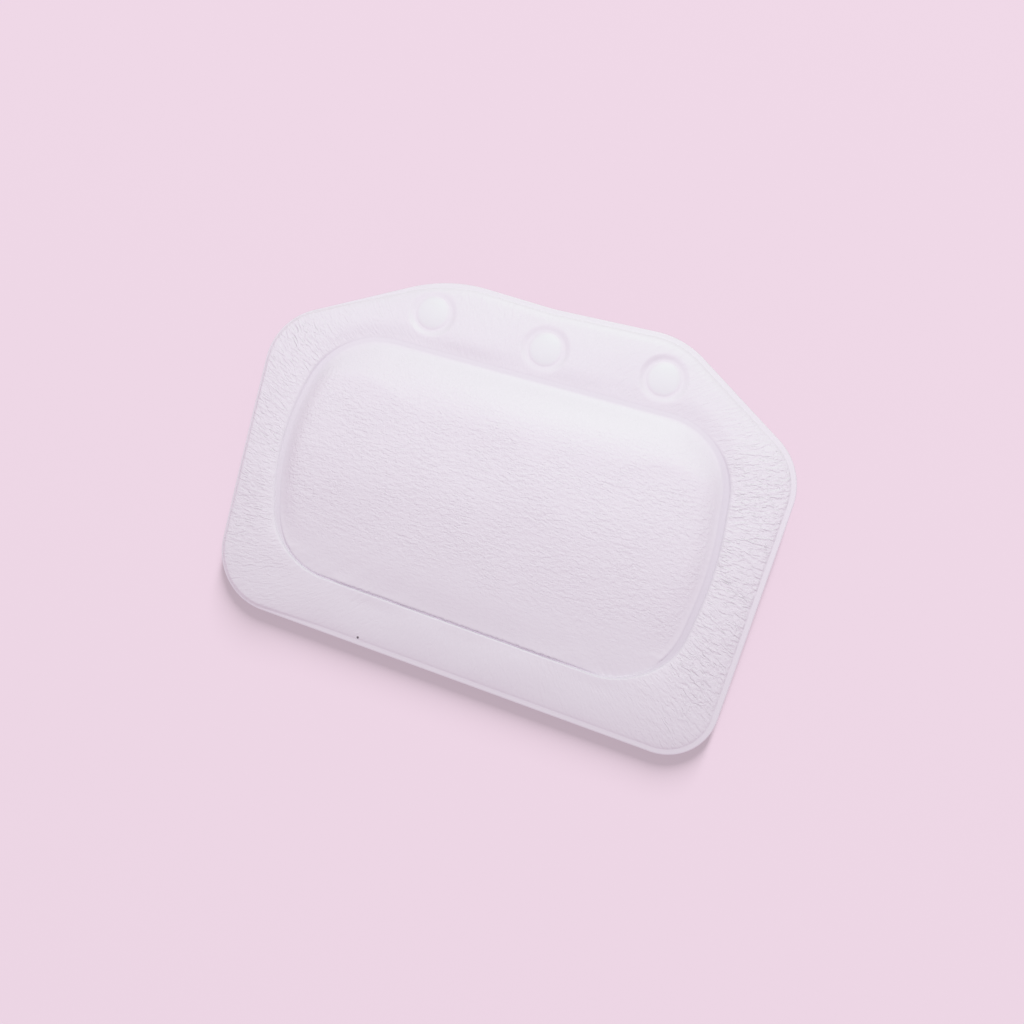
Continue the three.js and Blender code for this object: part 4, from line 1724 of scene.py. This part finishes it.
@dataclass(frozen=True)
class Studio:
    """The floor, the light and the camera.

    Attributes:
        floor_colour: how the floor renders, away from the shadow.
        ambient: the world's light, linear, as a share of a plain level.
        key: the key light's share on level ground at the pillow's middle.
        overhead: the overhead light's share there.
        key_elevation: how high the key light stands, in degrees.
        key_turn: the side that it comes from in the picture, in degrees from the right.
        key_distance: how far away it stands.
        key_size: its width and height.
        overhead_elevation: how high the overhead light stands, in degrees.
        overhead_distance: how far away it stands.
        overhead_size: its width and height.
        floor_key: the floor lamp's share, which gives the pillow's shadow.
        floor_key_elevation: how high that lamp stands, in degrees.
        floor_key_turn: the side that it comes from in the picture.
        floor_key_distance: how far away it stands.
        floor_key_size: its width and height.
        floor_share: the share of the floor's colour that answers to the world's light.
        focal_pixels: the camera's focal length in pixels of the photograph.
        frame_pixels: the photograph's width in pixels.
        sensor: the width of the camera's sensor.
        lean: the turns about X, Y and Z that bring the pillow's axes to the camera's, in degrees.
        shift: where the aim lies in the camera's picture plane.
        camera_distance: how far in front of that plane the camera stands.
        aim_up: how far up from the pillow's bottom edge the aim is.
        weld_height: how high the aim is.
    """

    floor_colour: str = "EED7E6"
    ambient: tuple[float, float, float] = (0.604, 0.54, 0.583)
    key: tuple[float, float, float] = (0.088, 0.152, 0.096)
    overhead: tuple[float, float, float] = (0.25, 0.226, 0.268)
    key_elevation: float = 42.0
    key_turn: float = 72.0
    key_distance: float = 900.0
    key_size: tuple[float, float] = (500.0, 500.0)
    overhead_elevation: float = 75.0
    overhead_distance: float = 430.0
    overhead_size: tuple[float, float] = (1800.0, 260.0)
    floor_key: float = 0.4
    floor_key_elevation: float = 32.0
    floor_key_turn: float = 72.0
    floor_key_distance: float = 20000.0
    floor_key_size: tuple[float, float] = (2600.0, 12000.0)
    floor_share: float = 0.2
    focal_pixels: float = 1200.0
    frame_pixels: float = 1024.0
    sensor: float = 36.0
    lean: tuple[float, float, float] = (-4.77, -7.85, -17.78)
    shift: tuple[float, float] = (-5.5, 15.2)
    camera_distance: float = 719.3
    aim_up: float = 120.0
    weld_height: float = 15.0

    def view_turn(self) -> Matrix:
        """The turn from the row frame to the camera's axes."""
        about_x, about_y, about_z = (math.radians(a) for a in self.lean)
        return (
            Matrix.Rotation(about_x, 3, "X")
            @ Matrix.Rotation(about_y, 3, "Y")
            @ Matrix.Rotation(about_z, 3, "Z")
        )

    def camera(self) -> None:
        """Sets the camera at the photograph's viewing angle and distance."""
        turn = self.view_turn().transposed()
        aim = Vector((0, (self.aim_up + BOTTOM_EDGE) * MM, self.weld_height * MM))
        local = Vector((-self.shift[0], -self.shift[1], self.camera_distance)) * MM
        data = bpy.data.cameras.new("camera")
        data.sensor_width = self.sensor
        data.lens = self.focal_pixels * self.sensor / self.frame_pixels
        data.clip_start = 0.05
        camera = bpy.data.objects.new("camera", data)
        camera.matrix_world = Matrix.Translation(aim + turn @ local) @ turn.to_4x4()
        bpy.context.scene.collection.objects.link(camera)
        bpy.context.scene.camera = camera

    def towards(self, elevation: float, turn: float) -> Vector:
        """The direction of a lamp from its height and its side in the picture, in degrees."""
        rise, side = math.radians(elevation), math.radians(turn)
        level = self.view_turn().transposed() @ Vector((math.cos(side), math.sin(side), 0))
        level.z = 0
        level.normalize()
        return level * math.cos(rise) + Vector((0, 0, math.sin(rise)))

    def soft_box(
        self,
        name: str,
        share: tuple[float, float, float],
        way: Vector,
        distance: float,
        size: tuple[float, float],
        lit: list[Any],
    ) -> None:
        """Adds a large flat lamp that faces the pillow's middle and lights only some objects.

        A lamp of power P and area A lights a point straight in front of it by 4 F P / A. With its
        half width and half height over the distance as X and Y, F is
        (X / r atan(Y / r) + Y / s atan(X / s)) / (2 pi), where r^2 = 1 + X^2 and s^2 = 1 + Y^2.

        Args:
            name: the lamp's name.
            share: its share of the light on level ground at the pillow's middle.
            way: the direction that it stands in.
            distance: how far away it stands.
            size: its width and height.
            lit: the objects that it lights.
        """
        data = bpy.data.lights.new(name, "AREA")
        data.shape = "RECTANGLE"
        data.size, data.size_y = (length * MM for length in size)
        x, y = (length / 2 / distance for length in size)
        r, s = math.hypot(1, x), math.hypot(1, y)
        factor = (x / r * math.atan(y / r) + y / s * math.atan(x / s)) / math.tau
        strength = max(share)
        data.energy = math.pi * strength / way.z * data.size * data.size_y / (4 * factor)
        data.color = [channel / strength for channel in share]
        lamp = bpy.data.objects.new(name, data)
        turn = way.to_track_quat("Z", "Y").to_matrix().to_4x4()
        lamp.matrix_world = Matrix.Translation(way * distance * MM) @ turn
        bpy.context.scene.collection.objects.link(lamp)
        receivers = bpy.data.collections.new(f"{name}_lit")
        for obj in lit:
            receivers.objects.link(obj)
        lamp.light_linking.receiver_collection = receivers

    def lamps(self, pieces: list[Any], floor: Any) -> None:
        """Adds the pillow's two lamps, and the floor's own, in which the pillow throws its shadow."""
        from_key = self.towards(self.key_elevation, self.key_turn)
        from_above = self.towards(self.overhead_elevation, self.key_turn)
        from_floor_key = self.towards(self.floor_key_elevation, self.floor_key_turn)
        floor_share = (self.floor_key / self.floor_share,) * 3
        self.soft_box("key_light", self.key, from_key, self.key_distance, self.key_size, pieces)
        self.soft_box(
            "overhead_light",
            self.overhead,
            from_above,
            self.overhead_distance,
            self.overhead_size,
            pieces,
        )
        self.soft_box(
            "floor_light",
            floor_share,
            from_floor_key,
            self.floor_key_distance,
            self.floor_key_size,
            [floor],
        )

    def world(self) -> None:
        """Lights the set evenly from all round, and shows the floor's colour past its edge."""
        world = bpy.data.worlds.new("studio")
        tree = fresh_tree(world)
        path = add_node(tree, "ShaderNodeLightPath")
        shiny = add_node(
            tree,
            "ShaderNodeMath",
            {"operation": "MAXIMUM"},
            {0: path.outputs["Is Glossy Ray"], 1: path.outputs["Is Transmission Ray"]},
        )
        shown = add_node(
            tree,
            "ShaderNodeMath",
            {"operation": "MAXIMUM"},
            {0: path.outputs["Is Camera Ray"], 1: shiny.outputs[0]},
        )
        lit = add_node(tree, "ShaderNodeBackground", inputs={0: (*self.ambient, 1.0), 1: 1.0})
        seen = add_node(tree, "ShaderNodeBackground", inputs={0: linear(self.floor_colour), 1: 1.0})
        mix = add_node(
            tree,
            "ShaderNodeMixShader",
            inputs={0: shown.outputs[0], 1: lit.outputs[0], 2: seen.outputs[0]},
        )
        add_node(tree, "ShaderNodeOutputWorld", inputs={0: mix.outputs[0]})
        bpy.context.scene.world = world

    def floor(self) -> Any:
        """Lays a plain matt floor that renders as floor_colour away from the pillow.

        It answers to the lamps only in part, and glows by the rest, so that it stays even.
        """
        size = 3000.0
        points = np.array([(-size, -size, 0), (size, -size, 0), (size, size, 0), (-size, size, 0)])
        obj = new_object("floor", points, [np.array([[0, 1, 2, 3]])])
        material = bpy.data.materials.new("matt_paper_backdrop")
        tree = fresh_tree(material)
        wanted = np.array(linear(self.floor_colour)[:3])
        own = wanted * self.floor_share
        glow = wanted - own * np.array(self.ambient) - wanted * self.floor_key
        matt = add_node(tree, "ShaderNodeBsdfDiffuse", inputs={0: (*own.tolist(), 1.0)})
        glowing = add_node(tree, "ShaderNodeEmission", inputs={0: (*glow.tolist(), 1.0), 1: 1.0})
        both = add_node(tree, "ShaderNodeAddShader", inputs={0: matt.outputs[0], 1: glowing.outputs[0]})
        add_node(tree, "ShaderNodeOutputMaterial", inputs={0: both.outputs[0]})
        obj.data.materials.append(material)
        return obj

    def build(self, pieces: list[Any]) -> None:
        """Builds the whole set round the pillow's objects."""
        self.camera()
        self.world()
        self.lamps(pieces, self.floor())
        bpy.context.scene.view_settings.view_transform = "Standard"


def main() -> None:
    """Builds the pillow and the set."""
    logging.basicConfig(level=logging.INFO, format="%(name)s: %(message)s")
    surfaces = PillowSurfaces(PillowShape())
    covers = Covers(surfaces)
    foam = FoamFilling(surfaces)
    pieces = [covers.front(), covers.back(), foam.core(), foam.margin(), foam.flap()]
    for side in surfaces.cups:
        cup = SuctionCup(surfaces, side)
        pieces += [cup.cup(), cup.ring()]
    Studio().build([piece.obj for piece in pieces])
    LOG.info("%d pieces", len(pieces))


if __name__ == "__main__":
    main()
